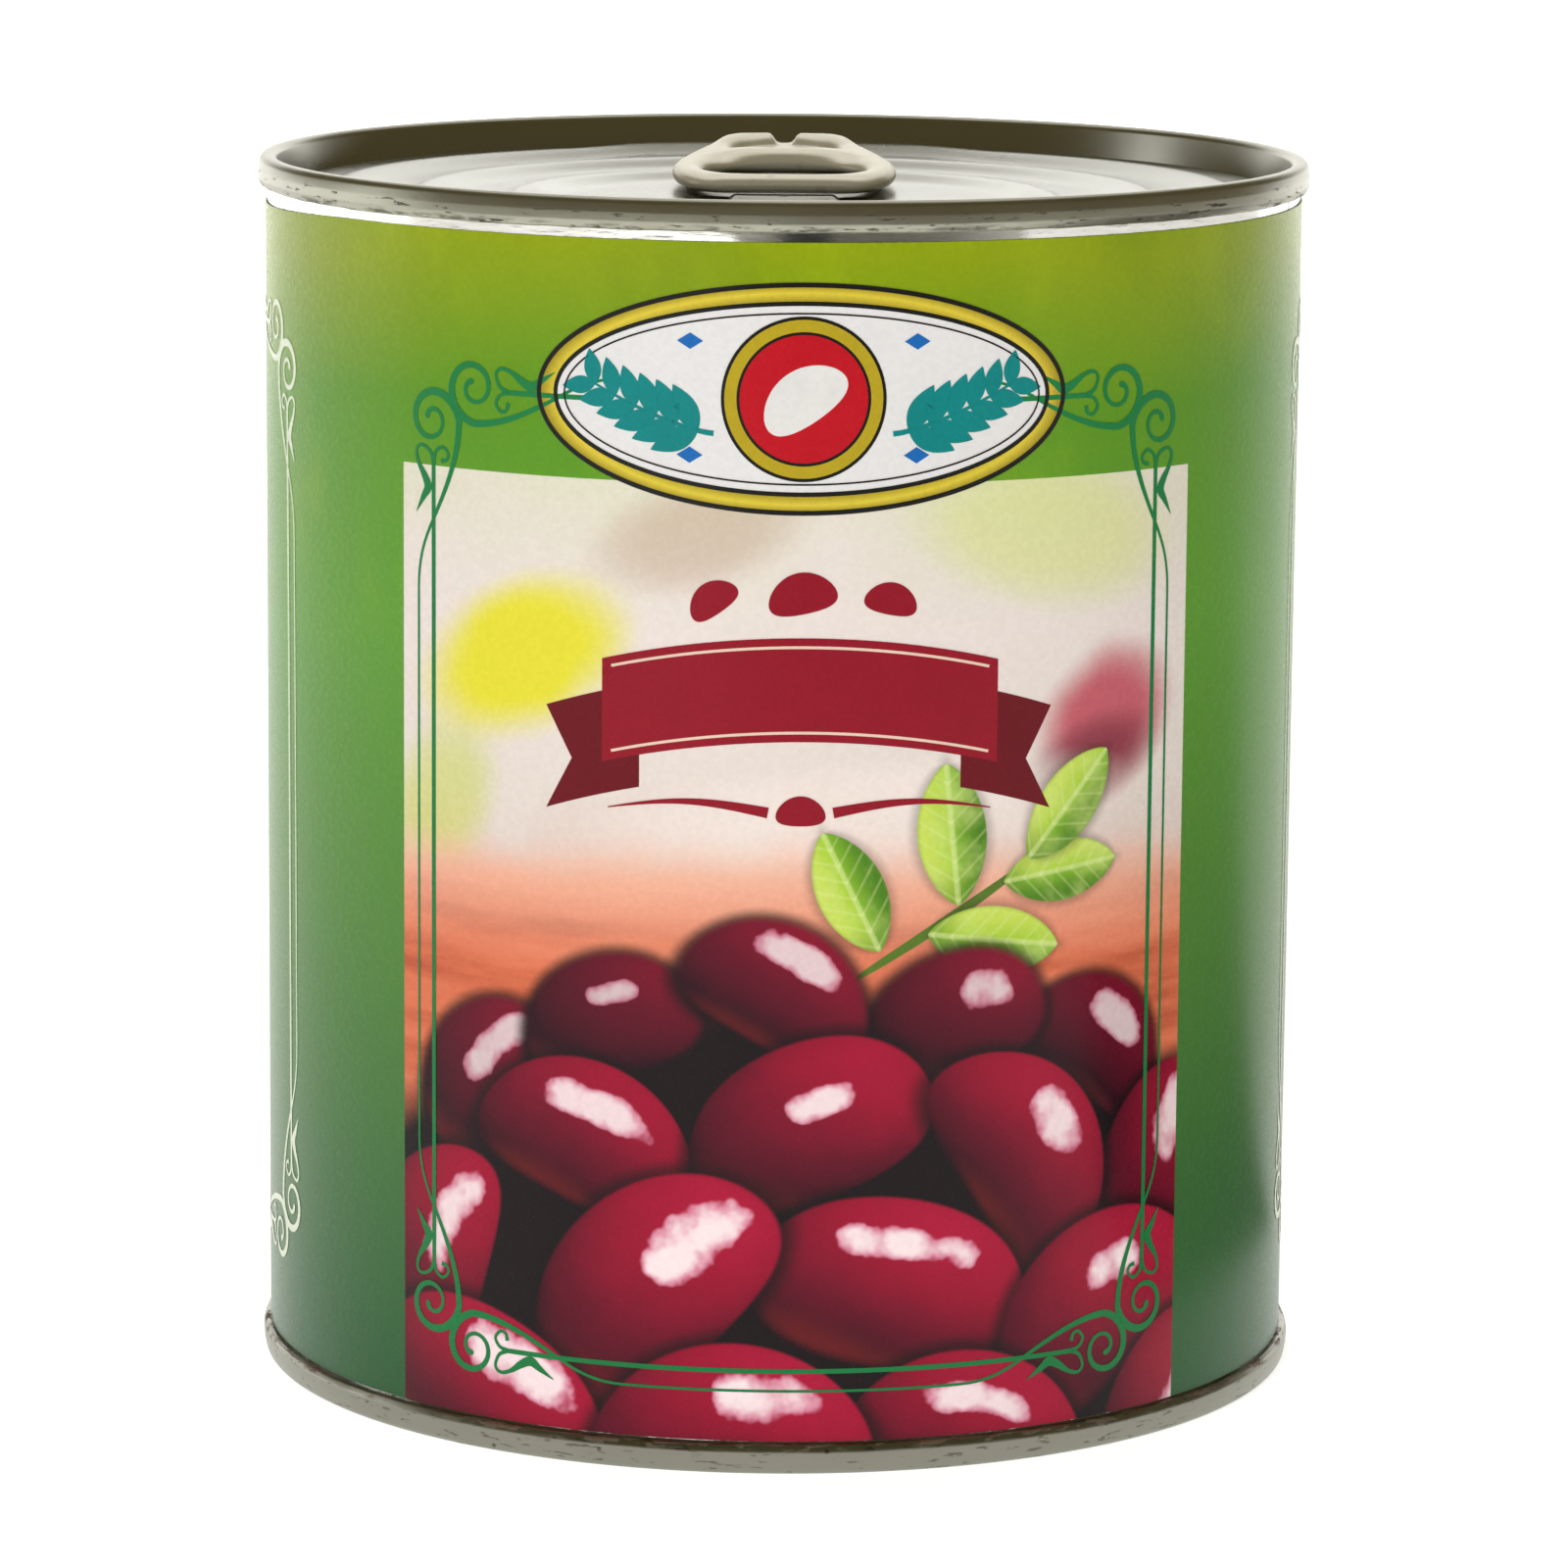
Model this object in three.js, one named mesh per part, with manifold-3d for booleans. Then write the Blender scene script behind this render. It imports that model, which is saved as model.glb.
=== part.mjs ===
// Canned beans: a shut tin can with two seamed ends, a ring-pull lid and a wrapped paper label.
// Millimetres, +Z up. The origin is the centre of the circle that the can stands on.
// The front of the label faces -Y, and the nose of the pull ring points to the back, +Y.

import * as THREE from "three";
import { mergeVertices } from "three/addons/utils/BufferGeometryUtils.js";
import Module from "manifold-3d";

const wasm = await Module();
wasm.setup();

// Driving dimensions of the can
const canHeight = 118.7;
const bodyRadius = 49.8;
const labelRadius = 50.5;
const labelBottom = 3.1;
const labelTop = 114.9;
const seamRadius = 51.2;
const seamHeight = 2.9;
const turnSegments = 52;

// Section of an end: depths are measured from its rim towards the contents
const rimFlat = 0.7;
const rimShoulderDepth = 0.7;
const rimChamfer = 0.22;
const seamFootRound = 0.4;
const chuckTopRadius = 49.45;
const chuckTopDepth = 0.45;
const chuckFootRadius = 48.65;
const countersinkRadius = 48.2;
const countersinkDepth = 4.9;
const countersinkLift = 0.3;
const panelWallRadius = 47.85;
const panelRadius = 47.5;
const panelEdgeDepth = 3.0;
const panelDish = 1.7;
const sheet = 0.45;
const panelInnerRing = 12;
const insideRings = [0, 16, 32];

// Pressed beads of an end, by the radius of each crest
const beadRadii = [25.2, 34.4, 42.3];
const beadHalfWidth = 2.0;
const beadHeight = 0.3;

// The outer bead stops on both sides of the pull ring's nose
const noseZoneHalfWidth = 18.5;
const noseZoneFade = 3.0;

// Pull ring: lengths run from the finger bar towards the nose
const ringStart = 3.6;
const ringLength = 34.0;
const ringThickness = 1.9;
const ringEdgeRound = 0.6;
const fingerEndDepth = 4.1;
const noseEndDepth = 3.1;

// Outline of the pull ring, with the reach of its curves
const ringHalfWidth = 11.15;
const ringWidestAt = 10.5;
const fingerBarHalf = 6.4;
const fingerCornerHalf = 9.75;
const fingerCornerAt = 4.7;
const sideFullTo = 19;
const noseTaperHalf = 8.3;
const noseTaperAt = 25;
const noseShoulderHalf = 6.7;
const noseShoulderAt = 31.6;
const noseCornerHalf = 6.1;
const noseHalf = 4.6;

// Finger hole of the pull ring
const holeStart = 3.1;
const holeFlatHalf = 5.1;
const holeCornerHalf = 7.5;
const holeCornerAt = 6.4;
const holeHalfWidth = 8.1;
const holeWidestAt = 9.2;
const holeShoulderAt = 13.8;
const holeCrownHalf = 4.4;
const holeEnd = 16.4;

// Rivet pocket, tongue slot and nose notch of the pull ring
const pocketCentre = 25.4;
const pocketHalfWidth = 5.3;
const pocketHalfLength = 5.6;
const webThickness = 0.8;
const slotRadius = 3.9;
const slotWidth = 0.7;
const slotOpening = 1.9;
const notchTopHalf = 1.35;
const notchFootHalf = 0.65;
const notchDepth = 1.0;
const notchLength = 4.5;
const notchOverrun = 1.0;

// Rivet, drawn up out of the lid's own metal
const rivetShankRadius = 1.5;
const rivetHoleRadius = 1.9;
const rivetHeadRadius = 2.9;
const rivetHeadThickness = 0.55;
const rivetHeadEdge = 0.2;
const rivetGap = 0.3;
const rivetRoot = 0.3;
const rivetSegments = 20;

// Raised pad of the lid under the finger bar
const padHalfWidth = 5.2;
const padHalfLength = 2.6;
const padCorner = 1.2;
const padCentre = 2.4;
const padHeight = 0.3;
const padRoot = 0.3;

const tinMaterial = new THREE.MeshStandardMaterial({ color: 0xc9c6bb, roughness: 0.32, metalness: 1.0 });
const lidMaterial = new THREE.MeshStandardMaterial({ color: 0xd8d8d2, roughness: 0.38, metalness: 0.9 });
const ringMaterial = new THREE.MeshStandardMaterial({ color: 0xe2e1d8, roughness: 0.3, metalness: 0.9 });
const paperMaterial = new THREE.MeshStandardMaterial({ color: 0x6fa036, roughness: 0.4, metalness: 0.0 });

// A solid of revolution about Z from [radius, height] pairs
function turned(profile, segments) {
  const points = profile.map(([radius, height]) => new THREE.Vector2(radius, height));
  const geometry = new THREE.LatheGeometry(points, segments);
  geometry.rotateX(Math.PI / 2);
  return geometry;
}

// Only positions and whole triangles, with shared vertices merged
function welded(geometry) {
  const bare = geometry.clone();
  bare.deleteAttribute("normal");
  bare.deleteAttribute("uv");
  const merged = mergeVertices(bare);
  const corners = merged.index.array;
  const kept = [];
  for (let i = 0; i < corners.length; i += 3) {
    const [a, b, c] = [corners[i], corners[i + 1], corners[i + 2]];
    if (a !== b && b !== c && c !== a) {
      kept.push(a, b, c);
    }
  }
  merged.setIndex(kept);
  return merged;
}

function toSolid(geometry) {
  const closed = welded(geometry);
  return new wasm.Manifold(new wasm.Mesh({
    numProp: 3,
    vertProperties: new Float32Array(closed.attributes.position.array),
    triVerts: new Uint32Array(closed.index.array),
  }));
}

function toGeometry(solid) {
  const mesh = solid.getMesh();
  const geometry = new THREE.BufferGeometry();
  geometry.setAttribute("position", new THREE.BufferAttribute(new Float32Array(mesh.vertProperties), 3));
  geometry.setIndex(Array.from(mesh.triVerts));
  geometry.computeVertexNormals();
  return geometry;
}

// Depth of an end's dished panel below its rim, before the beads are pressed
function panelDepth(radius) {
  const share = radius / panelRadius;
  return panelEdgeDepth + panelDish * (1 - share * share);
}

// Rise of the pressed beads at a radius
function beadRise(radius) {
  let rise = 0;
  for (const crest of beadRadii) {
    const offset = Math.abs(radius - crest) / beadHalfWidth;
    if (offset < 1) {
      rise += beadHeight * Math.cos(offset * Math.PI / 2) ** 2;
    }
  }
  return rise;
}

// Radii at which the panel is divided: the axis, each bead's feet and crest, and the edge
function panelRadii() {
  const beads = beadRadii.flatMap((crest) => [crest - beadHalfWidth, crest, crest + beadHalfWidth]);
  return [0, panelInnerRing, ...beads, panelRadius];
}

// Contents side of an end, from the axis out to the underside of the seam
function endInside() {
  return [
    ...insideRings.map((radius) => [radius, panelDepth(radius) + sheet]),
    [panelWallRadius - sheet, panelEdgeDepth + sheet],
    [panelWallRadius - sheet, countersinkDepth],
    [countersinkRadius, countersinkDepth + sheet],
    [chuckFootRadius + sheet, countersinkDepth],
    [chuckTopRadius, seamHeight],
  ];
}

// Outer side of an end, from the seam's underside over the rim and down to the axis
function endOutside() {
  const rimMiddle = (chuckTopRadius + seamRadius) / 2;
  const panel = panelRadii().map((radius) => [radius, panelDepth(radius) - beadRise(radius)]);
  return [
    [seamRadius - seamFootRound, seamHeight],
    [seamRadius, seamHeight - seamFootRound],
    [seamRadius, rimShoulderDepth],
    [seamRadius - rimChamfer, rimChamfer],
    [rimMiddle + rimFlat / 2, 0],
    [rimMiddle - rimFlat / 2, 0],
    [chuckTopRadius, chuckTopDepth],
    [chuckFootRadius, countersinkDepth - countersinkLift],
    [countersinkRadius, countersinkDepth],
    [panelWallRadius, countersinkDepth - countersinkLift],
    [panelWallRadius, panelEdgeDepth + countersinkLift],
    ...panel.reverse(),
  ];
}

// Flattens the outer bead of the lid where the pull ring's nose reaches the panel's edge
function openNoseZone(geometry) {
  const position = geometry.attributes.position;
  const outerCrest = beadRadii.at(-1);
  for (let i = 0; i < position.count; i += 1) {
    const [x, y, z] = [position.getX(i), position.getY(i), position.getZ(i)];
    const radius = Math.hypot(x, y);
    const onTop = z > canHeight - panelDepth(radius) - sheet / 2;
    const inBead = Math.abs(radius - outerCrest) < beadHalfWidth;
    if (y > 0 && onTop && inBead) {
      const open = THREE.MathUtils.smoothstep(noseZoneHalfWidth - Math.abs(x), 0, noseZoneFade);
      position.setZ(i, z - open * beadRise(radius));
    }
  }
}

function bodySolid() {
  const high = endInside().map(([radius, depth]) => [radius, canHeight - depth]);
  const wall = [[bodyRadius, seamHeight], [bodyRadius, canHeight - seamHeight]];
  return turned([...endInside(), ...wall, ...high.reverse()], turnSegments);
}

function labelSolid() {
  const profile = [
    [bodyRadius, labelBottom],
    [labelRadius, labelBottom],
    [labelRadius, labelTop],
    [bodyRadius, labelTop],
    [bodyRadius, labelBottom],
  ];
  return turned(profile, turnSegments);
}

function bottomEnd() {
  const profile = [...endInside(), ...endOutside()];
  return turned(profile.reverse(), turnSegments);
}

// Height of the pull ring's underside at a length along it
function ringUnderside(along) {
  return canHeight - THREE.MathUtils.lerp(fingerEndDepth, noseEndDepth, along / ringLength);
}

function rivet() {
  const centre = ringStart + pocketCentre;
  const foot = canHeight - panelDepth(centre) - rivetRoot;
  const headFoot = ringUnderside(pocketCentre) + webThickness + rivetGap;
  const headTop = headFoot + rivetHeadThickness;
  const geometry = turned([
    [0, foot],
    [rivetShankRadius, foot],
    [rivetShankRadius, headFoot],
    [rivetHeadRadius, headFoot],
    [rivetHeadRadius, headTop - rivetHeadEdge],
    [rivetHeadRadius - rivetHeadEdge, headTop],
    [0, headTop],
  ], rivetSegments);
  geometry.translate(0, centre, 0);
  return geometry;
}

function roundedRectangle(halfWidth, halfLength, corner) {
  const shape = new THREE.Shape();
  const right = halfWidth - corner;
  const far = halfLength - corner;
  shape.absarc(right, -far, corner, -Math.PI / 2, 0);
  shape.absarc(right, far, corner, 0, Math.PI / 2);
  shape.absarc(-right, far, corner, Math.PI / 2, Math.PI);
  shape.absarc(-right, -far, corner, Math.PI, Math.PI * 1.5);
  return shape;
}

function fingerPad() {
  const geometry = new THREE.ExtrudeGeometry(roundedRectangle(padHalfWidth, padHalfLength, padCorner), {
    depth: padHeight + padRoot,
    bevelEnabled: false,
    curveSegments: 4,
  });
  geometry.translate(0, padCentre, canHeight - panelDepth(0) - padRoot);
  return geometry;
}

function topEnd() {
  const section = [...endInside(), ...endOutside()];
  const lid = turned(section.map(([radius, depth]) => [radius, canHeight - depth]), turnSegments);
  openNoseZone(lid);
  return toGeometry(toSolid(lid).add(toSolid(rivet())).add(toSolid(fingerPad())));
}

// One side of the pull ring's outline, from the finger bar to the nose
function ringSide(shape, side) {
  shape.lineTo(side * fingerBarHalf, 0);
  shape.bezierCurveTo(
    side * fingerCornerHalf, 0,
    side * ringHalfWidth, fingerCornerAt,
    side * ringHalfWidth, ringWidestAt,
  );
  shape.bezierCurveTo(
    side * ringHalfWidth, sideFullTo,
    side * noseTaperHalf, noseTaperAt,
    side * noseShoulderHalf, noseShoulderAt,
  );
  shape.quadraticCurveTo(side * noseCornerHalf, ringLength, side * noseHalf, ringLength);
}

// One side of the finger hole: flat towards the finger bar and round towards the nose
function holeSide(path, side) {
  path.lineTo(side * holeFlatHalf, holeStart);
  path.bezierCurveTo(
    side * holeCornerHalf, holeStart,
    side * holeHalfWidth, holeCornerAt,
    side * holeHalfWidth, holeWidestAt,
  );
  path.bezierCurveTo(
    side * holeHalfWidth, holeShoulderAt,
    side * holeCrownHalf, holeEnd,
    0, holeEnd,
  );
}

// A closed outline from one side's curves and their mirror image
function mirrored(drawSide, start) {
  const half = new THREE.Path();
  half.moveTo(0, start);
  drawSide(half, 1);
  const curveSteps = 7;
  const right = half.getPoints(curveSteps);
  const left = right.map((point) => new THREE.Vector2(-point.x, point.y)).reverse();
  return [...right, ...left].filter((point, i, all) => i === 0 || !point.equals(all[i - 1]));
}

// A straight cutter through the ring from a given height upwards
function upwardCutter(shape, from) {
  const geometry = new THREE.ExtrudeGeometry(shape, {
    depth: ringThickness * 2,
    bevelEnabled: false,
    curveSegments: 8,
  });
  geometry.translate(0, 0, from);
  return toSolid(geometry);
}

function rivetPocket() {
  const shape = new THREE.Shape();
  shape.absellipse(0, pocketCentre, pocketHalfWidth, pocketHalfLength, 0, Math.PI * 2);
  return upwardCutter(shape, webThickness);
}

function rivetHole() {
  const shape = new THREE.Shape();
  shape.absarc(0, pocketCentre, rivetHoleRadius, 0, Math.PI * 2);
  return upwardCutter(shape, -ringThickness / 2);
}

// Slot around the rivet, closed towards the nose so that the tongue hangs on there
function tongueSlot() {
  const shape = new THREE.Shape();
  const start = Math.PI / 2 + slotOpening / 2;
  const end = Math.PI * 2.5 - slotOpening / 2;
  shape.absarc(0, pocketCentre, slotRadius + slotWidth, start, end);
  shape.absarc(0, pocketCentre, slotRadius, end, start, true);
  return upwardCutter(shape, -ringThickness / 2);
}

// Notch across the nose, narrower at its foot
function noseNotch() {
  const shape = new THREE.Shape();
  const foot = ringThickness - notchDepth;
  const clear = ringThickness + notchDepth;
  shape.moveTo(-notchFootHalf, foot);
  shape.lineTo(notchFootHalf, foot);
  shape.lineTo(notchTopHalf, ringThickness);
  shape.lineTo(notchTopHalf, clear);
  shape.lineTo(-notchTopHalf, clear);
  shape.lineTo(-notchTopHalf, ringThickness);
  const geometry = new THREE.ExtrudeGeometry(shape, { depth: notchLength, bevelEnabled: false });
  geometry.rotateX(Math.PI / 2);
  geometry.translate(0, ringLength + notchOverrun, 0);
  return toSolid(geometry);
}

function pullRing() {
  const outline = new THREE.Shape(mirrored(ringSide, 0));
  outline.holes.push(new THREE.Path(mirrored(holeSide, holeStart)));
  const plate = new THREE.ExtrudeGeometry(outline, {
    depth: ringThickness - ringEdgeRound * 2,
    bevelEnabled: true,
    bevelThickness: ringEdgeRound,
    bevelSize: ringEdgeRound,
    bevelOffset: -ringEdgeRound,
    bevelSegments: 2,
  });
  plate.translate(0, 0, ringEdgeRound);
  let solid = toSolid(plate);
  for (const cutter of [rivetPocket(), rivetHole(), tongueSlot(), noseNotch()]) {
    solid = solid.subtract(cutter);
  }
  return toGeometry(solid);
}

function named(name, geometry, material) {
  const mesh = new THREE.Mesh(geometry, material);
  mesh.name = name;
  return mesh;
}

const can = new THREE.Group();
can.add(named("can_body", bodySolid(), tinMaterial));
can.add(named("label", labelSolid(), paperMaterial));
can.add(named("bottom_end", bottomEnd(), tinMaterial.clone()));
can.add(named("top_end", topEnd(), lidMaterial));

const ringSeat = new THREE.Group();
ringSeat.position.set(0, ringStart, ringUnderside(0));
ringSeat.rotation.x = Math.atan2(fingerEndDepth - noseEndDepth, ringLength);
ringSeat.add(named("pull_ring", pullRing(), ringMaterial));
can.add(ringSeat);

export default can;
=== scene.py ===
"""A shut can of beans: tinplate ends and ring pull, a printed paper label, and the studio around it."""

import math

import bpy
import numpy as np
from mathutils import Matrix, Vector


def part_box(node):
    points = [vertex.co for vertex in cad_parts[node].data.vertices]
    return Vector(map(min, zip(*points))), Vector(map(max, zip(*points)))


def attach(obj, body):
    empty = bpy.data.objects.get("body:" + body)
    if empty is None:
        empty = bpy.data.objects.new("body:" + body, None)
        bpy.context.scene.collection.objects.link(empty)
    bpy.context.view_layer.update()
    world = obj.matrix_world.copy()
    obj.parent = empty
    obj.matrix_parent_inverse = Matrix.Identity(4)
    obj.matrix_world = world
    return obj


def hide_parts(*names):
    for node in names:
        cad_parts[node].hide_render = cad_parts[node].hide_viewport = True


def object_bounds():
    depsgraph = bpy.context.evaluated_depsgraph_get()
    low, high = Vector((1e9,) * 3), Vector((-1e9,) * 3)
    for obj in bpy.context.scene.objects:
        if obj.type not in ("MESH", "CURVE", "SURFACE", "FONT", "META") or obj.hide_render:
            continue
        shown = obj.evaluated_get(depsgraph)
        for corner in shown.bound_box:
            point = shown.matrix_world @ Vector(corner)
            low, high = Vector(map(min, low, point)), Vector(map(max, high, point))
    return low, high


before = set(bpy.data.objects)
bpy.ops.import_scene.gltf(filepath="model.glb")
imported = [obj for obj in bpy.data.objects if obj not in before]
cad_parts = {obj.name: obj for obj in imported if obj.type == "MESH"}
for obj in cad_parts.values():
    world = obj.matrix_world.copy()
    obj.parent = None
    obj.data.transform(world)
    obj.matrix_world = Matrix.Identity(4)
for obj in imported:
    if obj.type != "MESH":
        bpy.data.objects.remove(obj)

bl_info = {
    "name": "Bean can",
    "version": (1, 0, 0),
    "blender": (4, 5, 0),
    "location": "View3D > Sidebar > Bean can",
    "description": "Builds a ring-pull food can with a printed paper label around its fixed frame",
    "category": "Object",
}

CAD_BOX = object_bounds()
MM = 0.001

# Driving sizes from the frame, in metres
CAN_HEIGHT = CAD_BOX[1][2]
SEAM_RADIUS = CAD_BOX[1][1]
LABEL_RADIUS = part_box("label")[1][1]
LABEL_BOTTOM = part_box("label")[0][2]
LABEL_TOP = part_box("label")[1][2]

# Section of an end, in millimetres: depths run from the rim towards the contents
SEAM_HEIGHT = 2.9
CHUCK_TOP_RADIUS = 49.45
CHUCK_FOOT_RADIUS = 48.65
COUNTERSINK_RADIUS = 48.2
COUNTERSINK_DEPTH = 4.9
PANEL_WALL_RADIUS = 47.8
PANEL_RADIUS = 47.3
PANEL_FACE_RADIUS = PANEL_RADIUS - 1.0
PANEL_EDGE_DEPTH = 3.0
PANEL_DISH = 1.7
SHEET = 0.45
STRIP_INSET = 0.28
PANEL_STEP = 0.5

# Tin: steps round the can, crease in degrees, tone as a share, places of marks in millimetres
TURN_STEPS = 240
SEAM_CREASE = 60
FOOT_SEAM_TONE = 0.66
WELD_ARC = 65.0
ROLL_RADIUS = 50.0
MM_IN_METRE = 1000.0

# Pressed beads: a steep outer flank at each radius and a long slope inwards
BEAD_RADII = (27.2, 36.4, 44.3)
BEAD_HEIGHT = 0.58
BEAD_OUTER_FLANK = 1.3
BEAD_INNER_SLOPE = 5.0
NOSE_ZONE_HALF = 22.0
NOSE_ZONE_FADE = 8.0
NOSE_ZONE_SHIFT = 2.3

# Pull ring, in millimetres from its finger bar towards its nose, with a few shares and counts
RING_START = 3.6
RING_LENGTH = 34.0
RING_THICKNESS = 1.9
FINGER_END_DEPTH = 4.4
NOSE_END_DEPTH = 3.1
RIVET_AT = 25.4
RIVET_SINK = 0.3
TONGUE_SHARE = 0.15
RIVET_STEPS = 48
POCKET_HALF = (5.3, 5.6)
LOOP_CENTRE = (0, 9.8)
LOOP_LIMITS = (-1, 20.2)
NOSE_LIMITS = (17.0, 40)
WEB_RADII = (5.9, 1.9)
WEB_HEIGHTS = (0.4, 1.1)
WEB_SLOT = (3.9, 4.6)
NOTCH_DEPTH = 1.1
CROWN_HEIGHT = 0.35
HUMP_HEIGHT = 0.55
FUSE_VOXEL = 0.17
FUSE_ROUNDS = 4

# Pad in front of the ring and the two wells beside it, in millimetres
PAD_AT = 2.8
PAD_HALF_LENGTH = 1.6
PAD_HALF_WIDTH = 5.4
PAD_EDGE = 0.5
PAD_HEIGHT = 0.4
WELL_ACROSS = (5.3, 9.8)
WELL_ALONG = (0.4, 4.8)
WELL_INNER_EDGE = 0.4
WELL_OUTER_EDGE = 0.8
WELL_END = 0.6
WELL_DEPTH = 0.4

# Label: arcs from the front and heights in millimetres, wrap ends in degrees, map values as shares
PANEL_MIDDLE = 2.0
PANEL_HALF = 40.9
PANEL_TOP = 92.9
LABEL_SHEET = 0.15
INK_FILM = 0.02
PAPER_GLOSS = 0.2
EDGE_SAG = 0.8
SAG_HEIGHTS = (109.0, 115.0)
SAG_START = (42.0, 75.0)
SAG_END = (150.0, 120.0)
WRAP_START = -176.0
WRAP_END = 190.0
WRAP_LIFT = 0.24
MAP_MARGIN = 0.005
MAP_BACK_SHARE = 0.01
MAP_FACE_START = 0.02
MAP_FACE_SHARE = 0.97
PANEL_COLUMN = 0.9
WRAP_COLUMN = 1.2
LABEL_ROW = 2.2

# Ornament: an arm of scrolls at the end of a double line, in millimetres
LINE_GAP = 1.9
BEND_START = -6.5
BUD_FOOT = 5.37
SPIRAL_CENTRE = (9.3, -0.2)
SPIRAL_TURNS = 1.5
SPIRAL_STEPS = 60
THICK_LINE = 0.46
THIN_LINE = 0.25
OUTER_CURL = ((5.37, 0), (6.34, -0.5), (6.76, -1.6), (6.2, -2.17), (5.1, -1.9), (3.9, -1.1),
              (2.9, -0.7), (1.95, -1.28), (0.5, -2.17))
OUTER_CURL_WIDTHS = (0.42, 0.34, 0.3, 0.32, 0.4, 0.75, 0.95, 0.6, 0.06)
INNER_CURL = ((5.37, 0), (6.3, 0.3), (6.76, 1.1), (6.2, 1.8), (5.6, 1.6), (5.44, 0.96))
INNER_CURL_WIDTHS = (0.42, 0.32, 0.3, 0.3, 0.32, 0.42)
FRONT_FRAME = {
    "middle": 1.65, "half": 36.6, "low": 9.85, "high": 100.3,
    "side_low": 22.6, "side_high": 87.95, "foot_half": 22.5, "top_row": 20.0,
}
SIDE_FRAME = {
    "half": 27.0, "low": 14.0, "high": 103.0, "side_low": 27.0, "side_high": 90.0, "foot_half": 13.5,
}
SIDE_FRAME_MIDDLES = (-88.0, 97.0)

# Blank banner on the pale part of the picture and the marks above and below it, in millimetres
BANNER = (2.0, 71.6)
BANNER_HALF = 18.6
BANNER_TALL = 9.6
BANNER_ARCH = 2.4
BANNER_LINE = 0.26
BANNER_LINE_INSET = 0.9
BANNER_LINE_TALL = BANNER_TALL - 1.7
TAIL_ROOT = 3.6
TAIL_TIP = 5.6
TAIL_DROP = 3.0
TAIL_CUT = 2.6
TOP_BEANS = ((-1, 5.0, 10.6), (0, 6.4, 11.1), (1, 5.0, 10.6))
TOP_BEAN_GAP = 8.2
RULE_DROP = 9.0
RULE_START = 3.0
RULE_LENGTH = 15.0
RULE_ARCH = 0.9
RULE_STEPS = 25

# Studio, in metres, degrees and watts, with the lens and its sensor in millimetres
WALL_RADIUS = 1.3
WALL_HEIGHT = 0.75
WALL_SIDE_HEIGHT = 0.2
WALL_RIGHT = 128.0
WALL_LEFT = 272.0
WALL_HUMP = 262.0
WALL_HUMP_SHARE = 0.6
WALL_GLOW = 0.98
FLOOR_GLOW = 0.72
FLOOR_EDGES = (-2.5, 2.5, -3.0, 2.0)
ROOM_COLOUR = (0.145, 0.116, 0.052)
KEY_POWER = 10.2
FILL_POWER = 3.4
TOP_POWER = 3.8
KEY_PLACE = (-0.5, -1.3, 0.75)
FILL_PLACE = (0.6, -1.3, 0.6)
TOP_PLACE = (0.0, 0.55, 1.1)
SIDE_LIGHT_SIZE = 0.9
TOP_SIZE = 1.1
LIGHT_AIM = (0.0, 0.0, 0.06)
CARD_LEFT = -10.0
CARD_RIGHT = 52.0
CARD_HEIGHT = 0.1
CARD_AHEAD = 0.04
FLOOR_CARD_FROM = 64.0
FLOOR_CARD_TO = 118.0
FLOOR_CARD_RADII = (0.085, 0.62)
CAMERA_DISTANCE = 0.6628
CAMERA_HEIGHT = 0.1745
CAMERA_LENS = 156.06
CAMERA_SENSOR = 36.0
CAMERA_REACH = 20.0
CAMERA_SIDE = 0.00046
CAMERA_TILT = 10.111
CAMERA_ROLL = 0.455

# Medallion above the picture, in millimetres
MEDALLION = (2.0, 100.7)
MEDALLION_HALF = (25.0, 10.4)
MEDALLION_RIM = 1.7
MEDALLION_LINES = ((0, 0.44), (MEDALLION_RIM, 0.4), (MEDALLION_RIM + 0.9, 0.16))
ROUNDEL_RADIUS = 6.2
ROUNDEL_RING_RADIUS = 6.7
ROUNDEL_RING_WIDTH = 1.3
ROUNDEL_LINES = ((7.4, 0.3), (6.0, 0.26))
ROUNDEL_BEAN = (8.6, 5.0, 35, 0.26)
SPRIG_START = (8.2, -3.2)
SPRIG_SPAN = (11.6, 4.4)
SPRIG_STEPS = 24
GEM_OFFSET = (10.4, 5.2)
GEM_HALF = (1.2, 0.75)

# Lift of the inks off the paper, in millimetres
LIFT_GROUND = 0.03
LIFT_INK = 0.05
LIFT_TOP = 0.07


def ink(red, green, blue):
    """A printed colour from its screen values, as linear light."""
    def linear(value):
        share = value / 255
        return share / 12.92 if share <= 0.04045 else ((share + 0.055) / 1.055) ** 2.4
    return (linear(red), linear(green), linear(blue))


def colour_property(name, description, red, green, blue):
    return bpy.props.FloatVectorProperty(
        name=name, description=description, default=ink(red, green, blue),
        size=3, min=0, max=1, subtype="COLOR")


def length_property(name, description, metres):
    return bpy.props.FloatProperty(
        name=name, description=description, default=metres, min=0, unit="LENGTH", precision=5)


class CanSizes(bpy.types.PropertyGroup):
    """Main sizes of the can."""
    height: length_property("Height", "From the lower rim to the upper rim", CAN_HEIGHT)
    seam_radius: length_property("Seam radius", "Outside of both double seams", SEAM_RADIUS)
    label_radius: length_property("Label radius", "Outside of the paper wrap", LABEL_RADIUS)
    label_bottom: length_property("Label bottom", "Lower edge of the paper", LABEL_BOTTOM)
    label_top: length_property("Label top", "Upper edge of the paper", LABEL_TOP)
    camera_distance: length_property("Camera distance", "From the can's axis to the lens", CAMERA_DISTANCE)
    camera_height: length_property("Camera height", "Of the lens above the floor", CAMERA_HEIGHT)


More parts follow.
